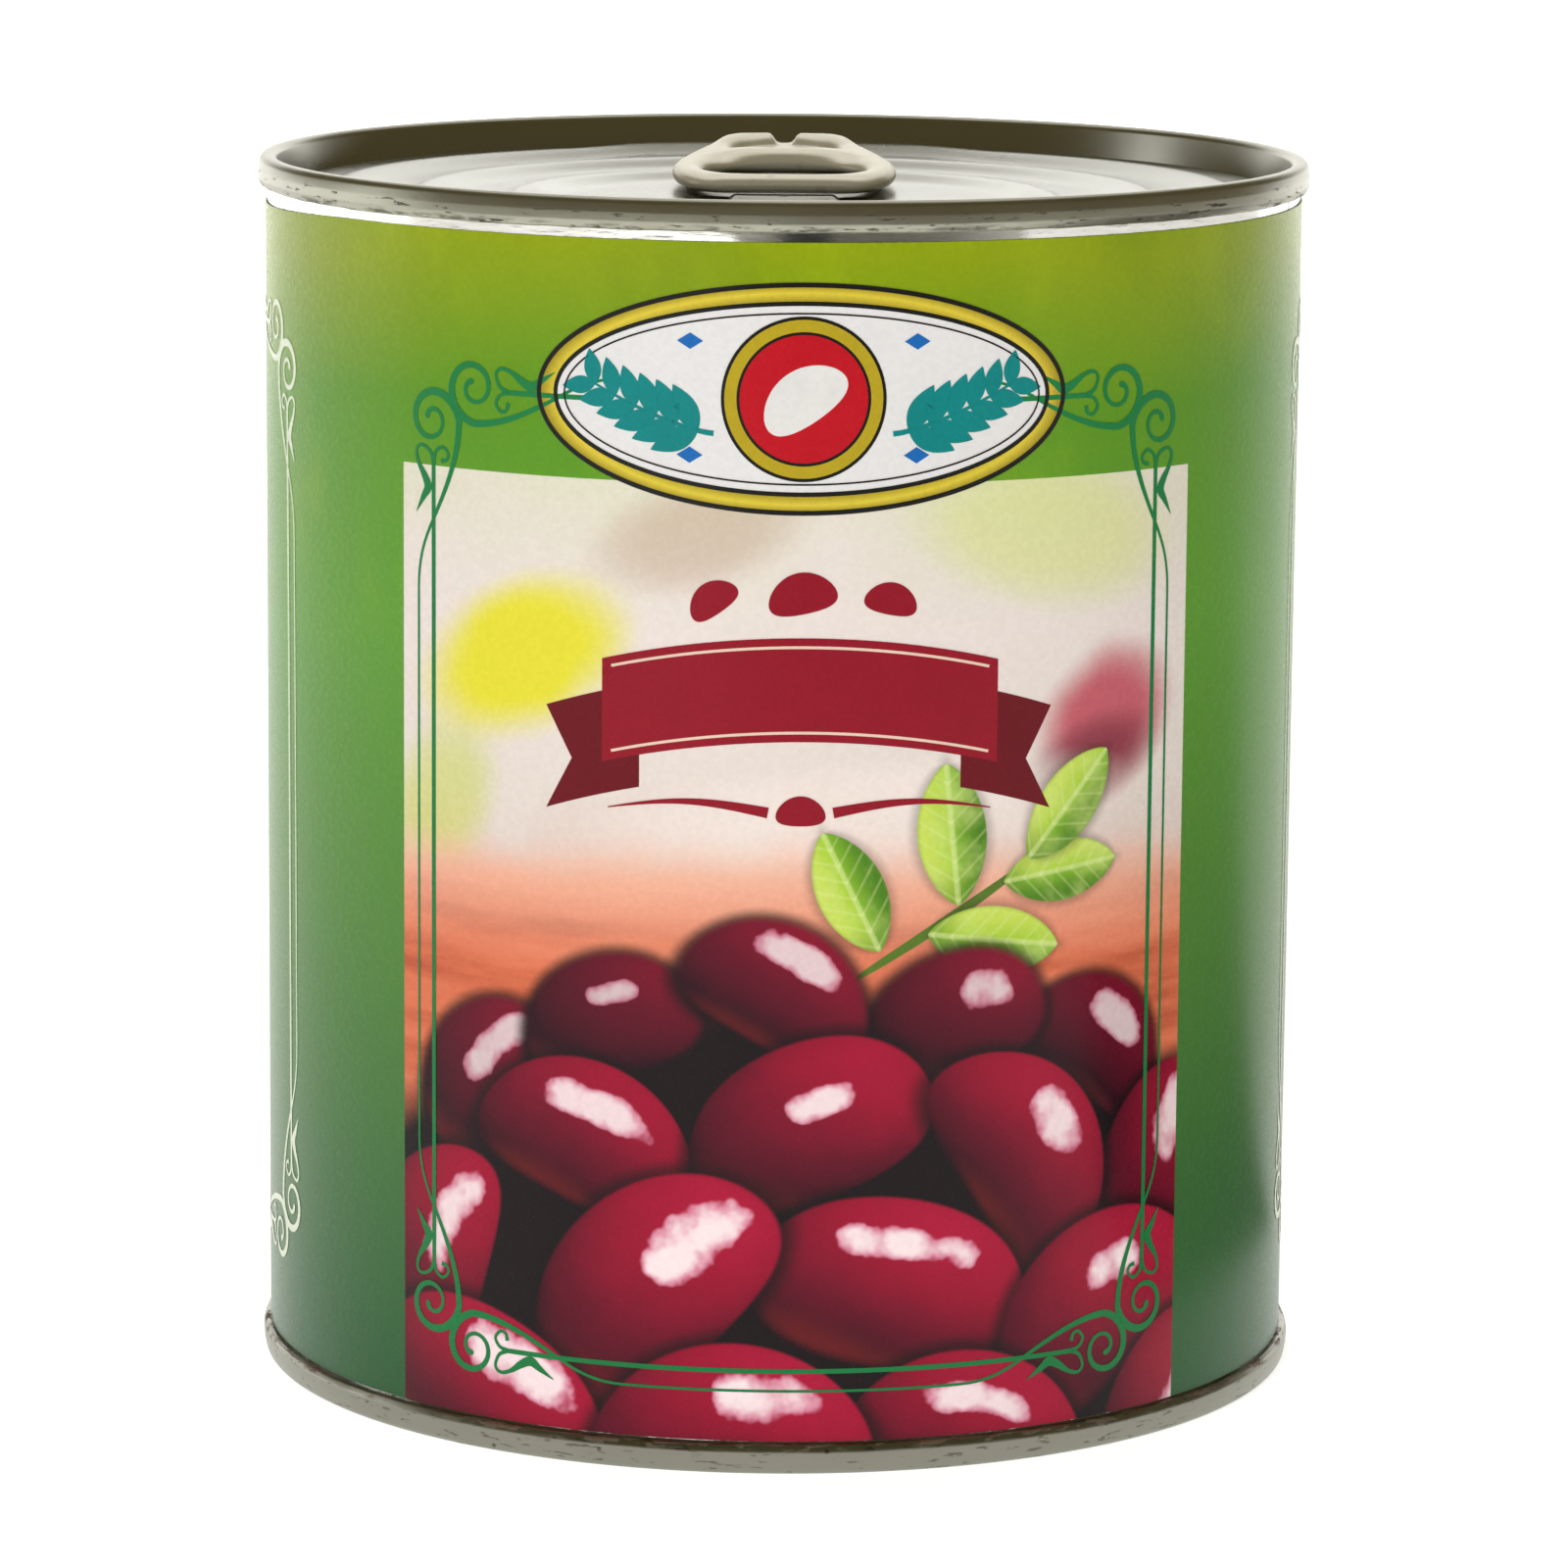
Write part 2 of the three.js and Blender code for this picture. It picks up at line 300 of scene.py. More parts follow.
class CanColours(bpy.types.PropertyGroup):
    """Colours of the metal and of the printed label."""
    tin: colour_property("Tin", "Dull tinplate of the seams", 170, 170, 157)
    lid: colour_property("Lid", "Lacquered panel of the lid", 163, 164, 156)
    ring: colour_property("Ring", "Rolled steel of the pull ring", 236, 233, 218)
    rust: colour_property("Rust", "Rust along the seams", 92, 52, 24)
    label_top: colour_property("Label top", "Yellow green at the top of the label", 136, 156, 0)
    label_middle: colour_property("Label middle", "Leaf green of the label", 90, 150, 44)
    label_foot: colour_property("Label foot", "Deep green at the foot of the label", 38, 90, 48)
    scroll: colour_property("Scrolls", "Green lines and scrolls", 22, 124, 66)
    gold: colour_property("Gold", "Rim of the medallion", 182, 160, 30)
    crimson: colour_property("Crimson", "Vignette above the beans", 146, 8, 34)
    bean: colour_property("Beans", "Skin of the printed beans", 150, 0, 44)
    board: colour_property("Board", "Warm ground behind the beans", 214, 112, 78)
    haze: colour_property("Haze", "Pale ground of the picture", 222, 213, 208)


class Field:
    """A value over a surface: wraps a node socket, so that shader maths reads as arithmetic."""

    def __init__(self, tree, socket):
        self.tree = tree
        self.socket = socket

    def node(self, kind, settings, inputs, output=0):
        """Adds a node: its settings first, then the values or links of its sockets."""
        made = self.tree.nodes.new(kind)
        for key, value in settings.items():
            if key == "stops":
                set_stops(made.color_ramp, value)
            else:
                setattr(made, key, value)
        for key, value in inputs.items():
            if isinstance(value, Field):
                self.tree.links.new(value.socket, made.inputs[key])
            else:
                made.inputs[key].default_value = value
        return Field(self.tree, made.outputs[output])

    def math(self, operation, *others):
        return self.node("ShaderNodeMath", {"operation": operation}, dict(enumerate((self, *others))))

    def __add__(self, other):
        return self.math("ADD", other)

    def __sub__(self, other):
        return self.math("SUBTRACT", other)

    def __rsub__(self, other):
        return self.node("ShaderNodeMath", {"operation": "SUBTRACT"}, {0: other, 1: self})

    def __mul__(self, other):
        return self.math("MULTIPLY", other)

    def __truediv__(self, other):
        return self.math("DIVIDE", other)

    def __neg__(self):
        return self * -1.0

    def __abs__(self):
        return self.math("ABSOLUTE")

    __radd__ = __add__
    __rmul__ = __mul__

    def scaled(self, factor, offset):
        """The field times a factor plus an offset, in one node."""
        return self.math("MULTIPLY_ADD", factor, offset)

    def squared(self):
        return self * self

    def step(self, low, high):
        """Smooth step: 0 at low and 1 at high, whichever of the two is greater."""
        settings = {"interpolation_type": "SMOOTHSTEP", "clamp": True}
        if low < high:
            return self.node("ShaderNodeMapRange", settings, {0: self, 1: low, 2: high, 3: 0.0, 4: 1.0})
        return self.node("ShaderNodeMapRange", settings, {0: self, 1: high, 2: low, 3: 1.0, 4: 0.0})

    def ramp(self, *stops):
        """A colour for each value: stops are (place, colour) pairs."""
        return self.node("ShaderNodeValToRGB", {"stops": stops}, {0: self})

    def blend(self, first, second):
        """A colour mixed from two by this field."""
        sockets = {0: self, 6: opaque(first), 7: opaque(second)}
        return self.node("ShaderNodeMix", {"data_type": "RGBA"}, sockets, 2)

    def parts(self):
        """The X, Y and Z of a vector field."""
        split = self.node("ShaderNodeSeparateXYZ", {}, {0: self})
        return [Field(self.tree, output) for output in split.socket.node.outputs]

    def stretched(self, across, along, up):
        """A vector field with each of its parts times a factor."""
        sockets = {0: self, 1: (across, along, up)}
        return self.node("ShaderNodeVectorMath", {"operation": "MULTIPLY"}, sockets)

    def noise(self, scale, detail=2.0, roughness=0.5):
        """Cloudy noise from about 0 to 1, with scale in features per metre."""
        sockets = {"Vector": self, "Scale": scale, "Detail": detail, "Roughness": roughness}
        return self.node("ShaderNodeTexNoise", {"noise_dimensions": "3D"}, sockets)

    def cells(self, scale, randomness=1.0):
        """Distance to the nearest of many scattered points."""
        sockets = {"Vector": self, "Scale": scale, "Randomness": randomness}
        return self.node("ShaderNodeTexVoronoi", {"feature": "F1"}, sockets)

    def bump(self, strength, distance):
        """A surface normal from this field taken as height."""
        return self.node("ShaderNodeBump", {}, {"Strength": strength, "Distance": distance, "Height": self})


def opaque(colour):
    if isinstance(colour, Field):
        return colour
    return (*tuple(colour)[:3], 1.0)


def set_stops(ramp, stops):
    while len(ramp.elements) < len(stops):
        ramp.elements.new(0.5)
    for element, (place, colour) in zip(ramp.elements, stops):
        element.position = place
        element.color = opaque(colour)


def new_finish(name):
    """A material with its shader, and the surface's own coordinates in metres."""
    material = bpy.data.materials.new(name)
    material.use_nodes = True
    tree = material.node_tree
    shader = tree.nodes["Principled BSDF"]
    coordinates = tree.nodes.new("ShaderNodeTexCoord")
    return material, shader, Field(tree, coordinates.outputs["Object"])


def dress(shader, **looks):
    """Sets the shader's sockets: fields are linked, and plain values are set on the socket."""
    for key, value in looks.items():
        socket = shader.inputs[key.replace("_", " ").title().replace("Ior", "IOR")]
        if isinstance(value, Field):
            value.tree.links.new(value.socket, socket)
        elif hasattr(socket.default_value, "__len__"):
            socket.default_value = opaque(value)
        else:
            socket.default_value = value


def sizes():
    return bpy.context.scene.bean_can_sizes


def colours():
    return bpy.context.scene.bean_can_colours


def add_piece(name, shape, material, replaced=(), crease=50):
    """A riding piece from (vertices in millimetres, faces)."""
    vertices, faces = shape
    mesh = bpy.data.meshes.new(name)
    mesh.from_pydata((np.asarray(vertices, dtype=float) * MM).tolist(), [], faces)
    mesh.validate()
    mesh.shade_smooth()
    mesh.set_sharp_from_angle(angle=math.radians(crease))
    mesh.materials.append(material)
    piece = bpy.data.objects.new(name, mesh)
    bpy.context.scene.collection.objects.link(piece)
    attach(piece, "root")
    for node in replaced:
        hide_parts(node)
    return piece


def add_print(name, shape, finish):
    """A riding piece of print on the label."""
    return add_piece(name, shape, finish)


def joined(*shapes):
    """Several shapes as one list of vertices and one of faces."""
    vertices = []
    faces = []
    for shape_vertices, shape_faces in shapes:
        start = len(vertices)
        vertices.extend(shape_vertices)
        faces.extend([tuple(start + corner for corner in corners) for corners in shape_faces])
    return vertices, faces


def face(corner, *places):
    """A face from the grid places of its corners."""
    return tuple(corner(*place) for place in places)


def softened(corners, steps=6):
    """A line through (radius, depth, rounding) corners, each rounded by a circle of its size."""
    points = []
    for i, (x, y, rounding) in enumerate(corners):
        here = np.array((x, y))
        if rounding == 0 or i in (0, len(corners) - 1):
            points.append(tuple(here))
            continue
        back = np.array(corners[i - 1][:2]) - here
        ahead = np.array(corners[i + 1][:2]) - here
        back_size, ahead_size = np.linalg.norm(back), np.linalg.norm(ahead)
        back, ahead = back / back_size, ahead / ahead_size
        half = math.acos(np.clip(back @ ahead, -1, 1)) / 2
        reach = min(rounding / math.tan(half), 0.49 * back_size, 0.49 * ahead_size)
        radius = reach * math.tan(half)
        middle = here + (back + ahead) / np.linalg.norm(back + ahead) * radius / math.sin(half)
        start = here + back * reach - middle
        end = here + ahead * reach - middle
        for k in range(steps + 1):
            share = k / steps
            direction = start * (1 - share) + end * share
            points.append(tuple(middle + direction / np.linalg.norm(direction) * radius))
    return points


def turned(profile, steps, shift=None):
    """A solid of revolution about Z from (radius, height) points. Angle 0 is the front, -Y."""
    angles = np.arange(steps) * 2 * math.pi / steps
    vertices = []
    rings = []
    for radius, height in profile:
        start = len(vertices)
        if radius < 1e-6:
            heights = shift(angles[:1], np.zeros(1), np.full(1, height))[1] if shift else [height]
            vertices.append((0.0, 0.0, heights[0]))
            rings.append([start] * steps)
            continue
        radii = np.full(steps, radius)
        heights = np.full(steps, height)
        if shift:
            radii, heights = shift(angles, radii, heights)
        vertices.extend(zip(radii * np.sin(angles), -radii * np.cos(angles), heights))
        rings.append(list(range(start, start + steps)))
    faces = []
    for low, high in zip(rings, rings[1:]):
        for j in range(steps):
            k = (j + 1) % steps
            corners = [low[j], low[k], high[k], high[j]]
            unique = list(dict.fromkeys(corners))
            if len(unique) > 2:
                faces.append(tuple(unique))
    return vertices, faces


def smooth(value, low, high):
    share = np.clip((value - low) / (high - low), 0, 1)
    return share * share * (3 - 2 * share)


def ripple(angle, *waves):
    """A sum of waves round the can: each is (count, size, phase)."""
    total = np.zeros_like(angle)
    for count, size, phase in waves:
        total = total + size * np.sin(count * angle + phase)
    return total


def panel_depth(radius):
    return PANEL_EDGE_DEPTH + PANEL_DISH * (1 - (radius / PANEL_RADIUS) ** 2)


def bead_rise(radius, edge):
    """Rise of one bead whose steep flank starts at edge."""
    outer = smooth(edge - radius, 0, BEAD_OUTER_FLANK)
    inner = 1 - smooth(edge - radius, BEAD_OUTER_FLANK, BEAD_OUTER_FLANK + BEAD_INNER_SLOPE)
    return BEAD_HEIGHT * outer * inner


def end_profile():
    """Half section of an end as (radius, depth): contents side outwards, then over the rim to the axis."""
    inside = [(radius, panel_depth(radius) + SHEET) for radius in (0, 16, 32)]
    inside += [
        (PANEL_WALL_RADIUS - SHEET, PANEL_EDGE_DEPTH + SHEET),
        (PANEL_WALL_RADIUS - SHEET, COUNTERSINK_DEPTH),
        (COUNTERSINK_RADIUS, COUNTERSINK_DEPTH + SHEET),
        (CHUCK_FOOT_RADIUS + SHEET, COUNTERSINK_DEPTH),
    ]
    seam = sizes().seam_radius / MM
    outside = softened([
        (CHUCK_TOP_RADIUS, SEAM_HEIGHT, 0),
        (seam - 0.3, SEAM_HEIGHT, 0.35),
        (seam, 2.25, 0.9),
        (seam - 0.06, 1.3, 1.5),
        (seam - 0.3, 0, 0.7),
        (CHUCK_TOP_RADIUS, 0, 0.7),
        (CHUCK_FOOT_RADIUS, COUNTERSINK_DEPTH, 0.45),
        (PANEL_WALL_RADIUS, COUNTERSINK_DEPTH, 0.4),
        (PANEL_WALL_RADIUS, PANEL_EDGE_DEPTH, 0.5),
        (PANEL_FACE_RADIUS, panel_depth(PANEL_FACE_RADIUS), 0),
    ])
    count = int(PANEL_FACE_RADIUS / PANEL_STEP)
    panel = [(PANEL_STEP * i, panel_depth(PANEL_STEP * i)) for i in range(count, -1, -1)]
    return inside + outside + panel


def seam_wobble(angles, radii, depths):
    """Small unevenness of a rolled seam, strongest at its lower edge."""
    seam = sizes().seam_radius / MM
    low = smooth(depths, 1.2, 2.8) * smooth(radii, seam - 1.4, seam - 0.4)
    waves = ripple(angles, (7, 0.02, 0.4), (23, 0.018, 1.9), (61, 0.014, 0.2), (97, 0.01, 2.2))
    dents = ripple(angles, (3, 0.02, 1.1), (11, 0.012, 0.7), (37, 0.008, 2.9))
    return radii - low * np.abs(dents), depths + low * waves


def lid_shape():
    """The upper end with its beads, the pad and wells in front of the ring, and the rivet."""
    height = sizes().height / MM

    def shift(angles, radii, heights):
        depths = height - heights
        radii, depths = seam_wobble(angles, radii, depths)
        on_top = (radii <= PANEL_FACE_RADIUS) & (np.abs(depths - panel_depth(radii)) < SHEET / 2)
        across = radii * np.sin(angles)
        along = -radii * np.cos(angles)
        near_nose = smooth(NOSE_ZONE_HALF - np.abs(across), 0, NOSE_ZONE_FADE) * (along > 0)
        rise = np.zeros_like(radii)
        for edge in BEAD_RADII[:-1]:
            rise = rise + bead_rise(radii, edge)
        rise = rise + bead_rise(radii, BEAD_RADII[-1] + NOSE_ZONE_SHIFT * near_nose)
        aside = np.abs(across)
        pad = smooth(PAD_HALF_WIDTH - aside, 0, PAD_EDGE)
        pad = pad * smooth(PAD_HALF_LENGTH - np.abs(along - PAD_AT), 0, PAD_EDGE)
        well = smooth(WELL_ACROSS[1] - aside, 0, WELL_OUTER_EDGE)
        well = well * smooth(aside - WELL_ACROSS[0], 0, WELL_INNER_EDGE)
        well = well * smooth(along - WELL_ALONG[0], 0, WELL_END) * smooth(WELL_ALONG[1] - along, 0, WELL_END)
        rise = rise + PAD_HEIGHT * pad - WELL_DEPTH * well
        return radii, height - depths + np.where(on_top, rise, 0)

    lid = turned([(radius, height - depth) for radius, depth in end_profile()], TURN_STEPS, shift)
    return joined(lid, rivet_shape())


def rivet_shape():
    """Button of the rivet that holds the ring, on its drawn-up boss."""
    height = sizes().height / MM
    along = RING_START + RIVET_AT
    web = height - ring_depth(RIVET_AT)
    foot = height - panel_depth(along) - RIVET_SINK
    profile = softened([
        (0, foot, 0),
        (4.4, foot, 0),
        (3.1, web - 0.1, 0.5),
        (1.5, web - 0.1, 0.1),
        (1.5, web + 0.95, 0.1),
        (2.9, web + 0.95, 0.2),
        (2.9, web + 1.3, 0.2),
        (1.5, web + 1.3, 0.3),
        (0.9, web + 1.1, 0.2),
        (0, web + 1.1, 0),
    ])
    vertices, faces = turned(profile, RIVET_STEPS)
    return [(x, y + along, z) for x, y, z in vertices], faces


def ring_depth(along):
    """Depth of the ring's underside below the rim plane."""
    return FINGER_END_DEPTH + (NOSE_END_DEPTH - FINGER_END_DEPTH) * along / RING_LENGTH


def bezier(start, first, second, end, steps):
    """Points of a cubic curve, with its start left out."""
    points = []
    for i in range(1, steps + 1):
        t = i / steps
        weights = ((1 - t) ** 3, 3 * t * (1 - t) ** 2, 3 * t * t * (1 - t), t ** 3)
        points.append(tuple(
            sum(weight * point[axis] for weight, point in zip(weights, (start, first, second, end)))
            for axis in (0, 1)))
    return points


def mirrored(half):
    """A closed outline from its right half, which starts and ends on the middle line."""
    return half + [(-x, y) for x, y in reversed(half) if abs(x) > 1e-9]


def ring_outline():
    """Outer outline of the ring, from its finger bar to its nose."""
    half = [(0, 0), (6.4, 0)]
    half += bezier((6.4, 0), (9.75, 0), (11.15, 4.7), (11.15, 10.5), 12)
    half += bezier((11.15, 10.5), (11.15, 19), (8.3, 25), (6.7, 31.6), 14)
    half += bezier((6.7, 31.6), (6.3, 33.2), (5.6, RING_LENGTH), (4.4, RING_LENGTH), 8)
    half += [(0, RING_LENGTH)]
    return mirrored(half)


def finger_hole():
    """Outline of the hole for a finger."""
    half = [(0, 3.1), (2.0, 3.1)]
    half += bezier((2.0, 3.1), (5.6, 3.2), (8.1, 5.8), (8.1, 9.2), 12)
    half += bezier((8.1, 9.2), (8.1, 13.8), (4.4, 16.4), (0, 16.4), 14)
    return mirrored(half)


def reach(outline, centre, angle):
    """Distance from a centre to a closed outline in one direction."""
    direction = np.array((math.cos(angle), math.sin(angle)))
    best = 0.0
    for (ax, ay), (bx, by) in zip(outline, outline[1:] + outline[:1]):
        edge = np.array((bx - ax, by - ay))
        offset = np.array((ax - centre[0], ay - centre[1]))
        cross = direction[0] * edge[1] - direction[1] * edge[0]
        if abs(cross) < 1e-12:
            continue
        along = (offset[0] * edge[1] - offset[1] * edge[0]) / cross
        on_edge = (offset[0] * direction[1] - offset[1] * direction[0]) / cross
        if along > 0 and -1e-9 <= on_edge <= 1 + 1e-9:
            best = max(best, along)
    return best


def rolled_loop(outer, inner, centre, limits, steps=160, around=20):
    """A rolled edge between two outlines about a centre, cut off at limits of length."""
    vertices = []
    for i in range(steps):
        angle = 2 * math.pi * i / steps
        direction = np.array((math.cos(angle), math.sin(angle)))
        far = reach(outer, centre, angle)
        if direction[1] > 1e-6:
            far = min(far, (limits[1] - centre[1]) / direction[1])
        if direction[1] < -1e-6:
            far = min(far, (limits[0] - centre[1]) / direction[1])
        near = reach(inner, centre, angle)
        for k in range(around):
            turn = 2 * math.pi * k / around
            side = math.copysign(abs(math.cos(turn)) ** 0.95, math.cos(turn))
            up = math.copysign(abs(math.sin(turn)) ** 0.95, math.sin(turn))
            distance = (far + near) / 2 + side * (far - near) / 2
            x, y = np.array(centre) + direction * distance
            vertices.append((x, y, RING_THICKNESS / 2 * (1 + up)))
    faces = []
    for i in range(steps):
        for k in range(around):
            ahead, turn = (i + 1) % steps, (k + 1) % around
            faces.append((i * around + k, ahead * around + k, ahead * around + turn, i * around + turn))
    return vertices, faces


def web_plate(outer, inner, low, high, gap):
    """Thin plate about the rivet with a slot that leaves a tongue towards the nose."""
    radii = [inner, gap[0], gap[1], outer]
    steps = 96
    vertices = []
    for height in (low, high):
        for radius in radii:
            for j in range(steps):
                angle = 2 * math.pi * j / steps
                vertices.append((radius * math.sin(angle), RIVET_AT + radius * math.cos(angle), height))
    tongue = steps * TONGUE_SHARE

    def kept(ring, j):
        from_nose = min(j, steps - j)
        return ring != 1 or from_nose < tongue

    def corner(level, ring, j):
        return (level * len(radii) + ring) * steps + j % steps

    faces = []
    for ring in range(len(radii) - 1):
        for j in range(steps):
            if not kept(ring, j):
                continue
            faces.append(face(corner, (1, ring, j + 1), (1, ring + 1, j + 1), (1, ring + 1, j), (1, ring, j)))
            faces.append(face(corner, (0, ring + 1, j), (0, ring + 1, j + 1), (0, ring, j + 1), (0, ring, j)))
            neighbours = (
                (ring > 0 and kept(ring - 1, j), (ring, j + 1), (ring, j)),
                (ring + 2 < len(radii) and kept(ring + 1, j), (ring + 1, j), (ring + 1, j + 1)),
                (kept(ring, (j - 1) % steps), (ring, j), (ring + 1, j)),
                (kept(ring, (j + 1) % steps), (ring + 1, j + 1), (ring, j + 1)),
            )
            for closed, first, second in neighbours:
                if not closed:
                    faces.append(face(corner, (0, *first), (1, *first), (1, *second), (0, *second)))
    return vertices, faces


def cross_hump(x, z):
    """Rise of the roll between the finger hole and the rivet."""
    return HUMP_HEIGHT * smooth(9.5 - abs(x), 0.0, 6.0) * smooth(z, 0.3, RING_THICKNESS)


def ring_shape():
    """The pull ring lying flat: finger loop, nose loop and the web around the rivet."""
    outline = ring_outline()
    turns = np.linspace(0, 2 * math.pi, 72)[:-1]
    pocket = [(POCKET_HALF[0] * math.cos(a), RIVET_AT + POCKET_HALF[1] * math.sin(a)) for a in turns]
    loop_vertices, loop_faces = rolled_loop(outline, finger_hole(), LOOP_CENTRE, LOOP_LIMITS)
    loop = []
    for x, y, z in loop_vertices:
        loop.append((x, y, z + cross_hump(x, z) * smooth(y, 14.5, 17.0)))
    nose_vertices, nose_faces = rolled_loop(outline, pocket, (0, RIVET_AT), NOSE_LIMITS)
    nose = []
    for x, y, z in nose_vertices:
        notch = smooth(y, 29.6, 31.0) * (1 - smooth(abs(x), 0.6, 1.6))
        crown = CROWN_HEIGHT * smooth(y, 26.0, 31.5) * smooth(z, 0.6, RING_THICKNESS)
        crown = crown + cross_hump(x, z) * smooth(21.5 - y, 0.0, 2.5)
        nose.append((x, y, min(z + crown, RING_THICKNESS + crown - NOTCH_DEPTH * notch)))
    web = web_plate(*WEB_RADII, *WEB_HEIGHTS, WEB_SLOT)
    return joined((loop, loop_faces), (nose, nose_faces), web)


def melted(piece, voxel, rounds):
    """Fuses overlapping closed shells into one smooth skin."""
    remesh = piece.modifiers.new("fuse", "REMESH")
    remesh.mode = "VOXEL"
    remesh.voxel_size = voxel * MM
    relax = piece.modifiers.new("relax", "SMOOTH")
    relax.factor = 0.5
    relax.iterations = rounds
    graph = bpy.context.evaluated_depsgraph_get()
    mesh = bpy.data.meshes.new_from_object(piece.evaluated_get(graph))
    materials = list(piece.data.materials)
    piece.modifiers.clear()
    piece.data = mesh
    mesh.materials.clear()
    for material in materials:
        mesh.materials.append(material)
    mesh.shade_smooth()


def label_radius(arc, height):
    """Radius of the paper's face, with its slight looseness and the lap at the back."""
    radius = sizes().label_radius / MM
    angle = arc / radius
    lap = WRAP_LIFT * smooth(np.degrees(angle), 160, 184)
    slack = 0.03 * np.sin(3 * angle + 0.6) + 0.02 * np.sin(7 * angle + 0.03 * height)
    buckle = 0.012 * np.sin(height * 0.11 + 2 * angle) * np.sin(5 * angle + 1.0)
    return radius - 0.05 + slack + buckle + lap


def on_label(arc, height, lift):
    """A point on the can from its place on the flat label."""
    base = sizes().label_radius / MM
    angle = arc / base
    radius = label_radius(arc, height) + lift
    sag = EDGE_SAG * smooth(height, *SAG_HEIGHTS) * smooth(-arc, *SAG_START) * smooth(-arc, *SAG_END)
    return (radius * math.sin(angle), -radius * math.cos(angle), height - sag)


def paper_sheet(arcs, heights, kept):
    """A thin closed sheet from the kept cells of a grid on the label."""
    rows = len(heights)
    vertices = []
    for lift in (0.0, -LABEL_SHEET):
        for arc in arcs:
            for height in heights:
                vertices.append(on_label(arc, height, lift))

    def corner(level, i, j):
        return (level * len(arcs) + i) * rows + j

    def held(i, j):
        return 0 <= i < len(arcs) - 1 and 0 <= j < rows - 1 and kept(i, j)

    faces = []
    outer_count = 0
    walls = []
    for i in range(len(arcs) - 1):
        for j in range(rows - 1):
            if not held(i, j):
                continue
            faces.append(face(corner, (0, i, j), (0, i + 1, j), (0, i + 1, j + 1), (0, i, j + 1)))
            outer_count += 1
            walls.append(face(corner, (1, i, j), (1, i, j + 1), (1, i + 1, j + 1), (1, i + 1, j)))
            sides = (
                ((i, j - 1), (i, j), (i + 1, j)),
                ((i, j + 1), (i + 1, j + 1), (i, j + 1)),
                ((i - 1, j), (i, j + 1), (i, j)),
                ((i + 1, j), (i + 1, j), (i + 1, j + 1)),
            )
            for beside, first, second in sides:
                if not held(*beside):
                    walls.append(face(corner, (1, *first), (1, *second), (0, *second), (0, *first)))
    return (vertices, faces + walls), outer_count


def add_bake_map(piece, outer_count, arcs, heights):
    """Gives the printed face almost the whole bake map, and the sheet's back a thin strip of it."""
    mesh = piece.data
    base = sizes().label_radius / MM
    layer = mesh.uv_layers.new(name="OFBake")
    places = np.array([vertex.co[:] for vertex in mesh.vertices]) / MM
    angles = np.arctan2(places[:, 0], -places[:, 1])
    arcs_of = angles * base
    span = arcs[-1] - arcs[0]
    rise = heights[-1] - heights[0]
    for polygon in mesh.polygons:
        corners = [mesh.loops[k].vertex_index for k in polygon.loop_indices]
        values = arcs_of[corners]
        full_turn = 2 * math.pi * base
        middle = np.median(values)
        values = np.where(values - middle > full_turn / 2, values - full_turn, values)
        values = np.where(values - middle < -full_turn / 2, values + full_turn, values)
        outer = polygon.index < outer_count
        if values.mean() < arcs[0] - 0.01:
            values = values + full_turn
        for k, corner, arc in zip(polygon.loop_indices, corners, values):
            u = (arc - arcs[0]) / span
            v = (places[corner, 2] - heights[0]) / rise
            v = MAP_FACE_START + v * MAP_FACE_SHARE if outer else v * MAP_BACK_SHARE
            layer.data[k].uv = (min(max(u, 0), 1) * (1 - 2 * MAP_MARGIN) + MAP_MARGIN, v)


def spaced(start, end, step):
    count = max(1, round(abs(end - start) / step))
    return list(np.linspace(start, end, count + 1))


def label_grid():
    """Columns and rows of the paper, with lines along the picture's edges."""
    base = sizes().label_radius / MM
    start, end = math.radians(WRAP_START) * base, math.radians(WRAP_END) * base
    left, right = PANEL_MIDDLE - PANEL_HALF, PANEL_MIDDLE + PANEL_HALF
    arcs = spaced(start, left, WRAP_COLUMN)[:-1] + spaced(left, right, PANEL_COLUMN)[:-1]
    arcs += spaced(right, end, WRAP_COLUMN)
    low, high = sizes().label_bottom / MM, sizes().label_top / MM
    heights = spaced(low, PANEL_TOP, LABEL_ROW)[:-1] + spaced(PANEL_TOP, high, LABEL_ROW)
    return arcs, heights, left, right


def ribbon(points, widths, lift, thickness=INK_FILM, closed=False):
    """A flat inked stroke on the label: a thin closed strip along (arc, height) points."""
    line = np.array(points, dtype=float)
    if closed:
        ahead = np.roll(line, -1, axis=0) - np.roll(line, 1, axis=0)
    else:
        ahead = np.gradient(line, axis=0)
    ahead = ahead / np.maximum(np.linalg.norm(ahead, axis=1, keepdims=True), 1e-9)
    normal = np.stack((-ahead[:, 1], ahead[:, 0]), axis=1)
    half = np.broadcast_to(np.asarray(widths, dtype=float), len(line))[:, None] / 2
    foot = lift - thickness
    vertices = []
    for left, right in zip(line + normal * half, line - normal * half):
        for (arc, height), level in ((left, lift), (right, lift), (right, foot), (left, foot)):
            vertices.append(on_label(arc, height, level))
    faces = []
    count = len(line)
    for i in range(count if closed else count - 1):
        j = (i + 1) % count
        for k in range(4):
            m = (k + 1) % 4
            faces.append((4 * i + k, 4 * i + m, 4 * j + m, 4 * j + k))
    if not closed:
        faces.append((3, 2, 1, 0))
        last = 4 * (count - 1)
        faces.append((last, last + 1, last + 2, last + 3))
    return vertices, faces


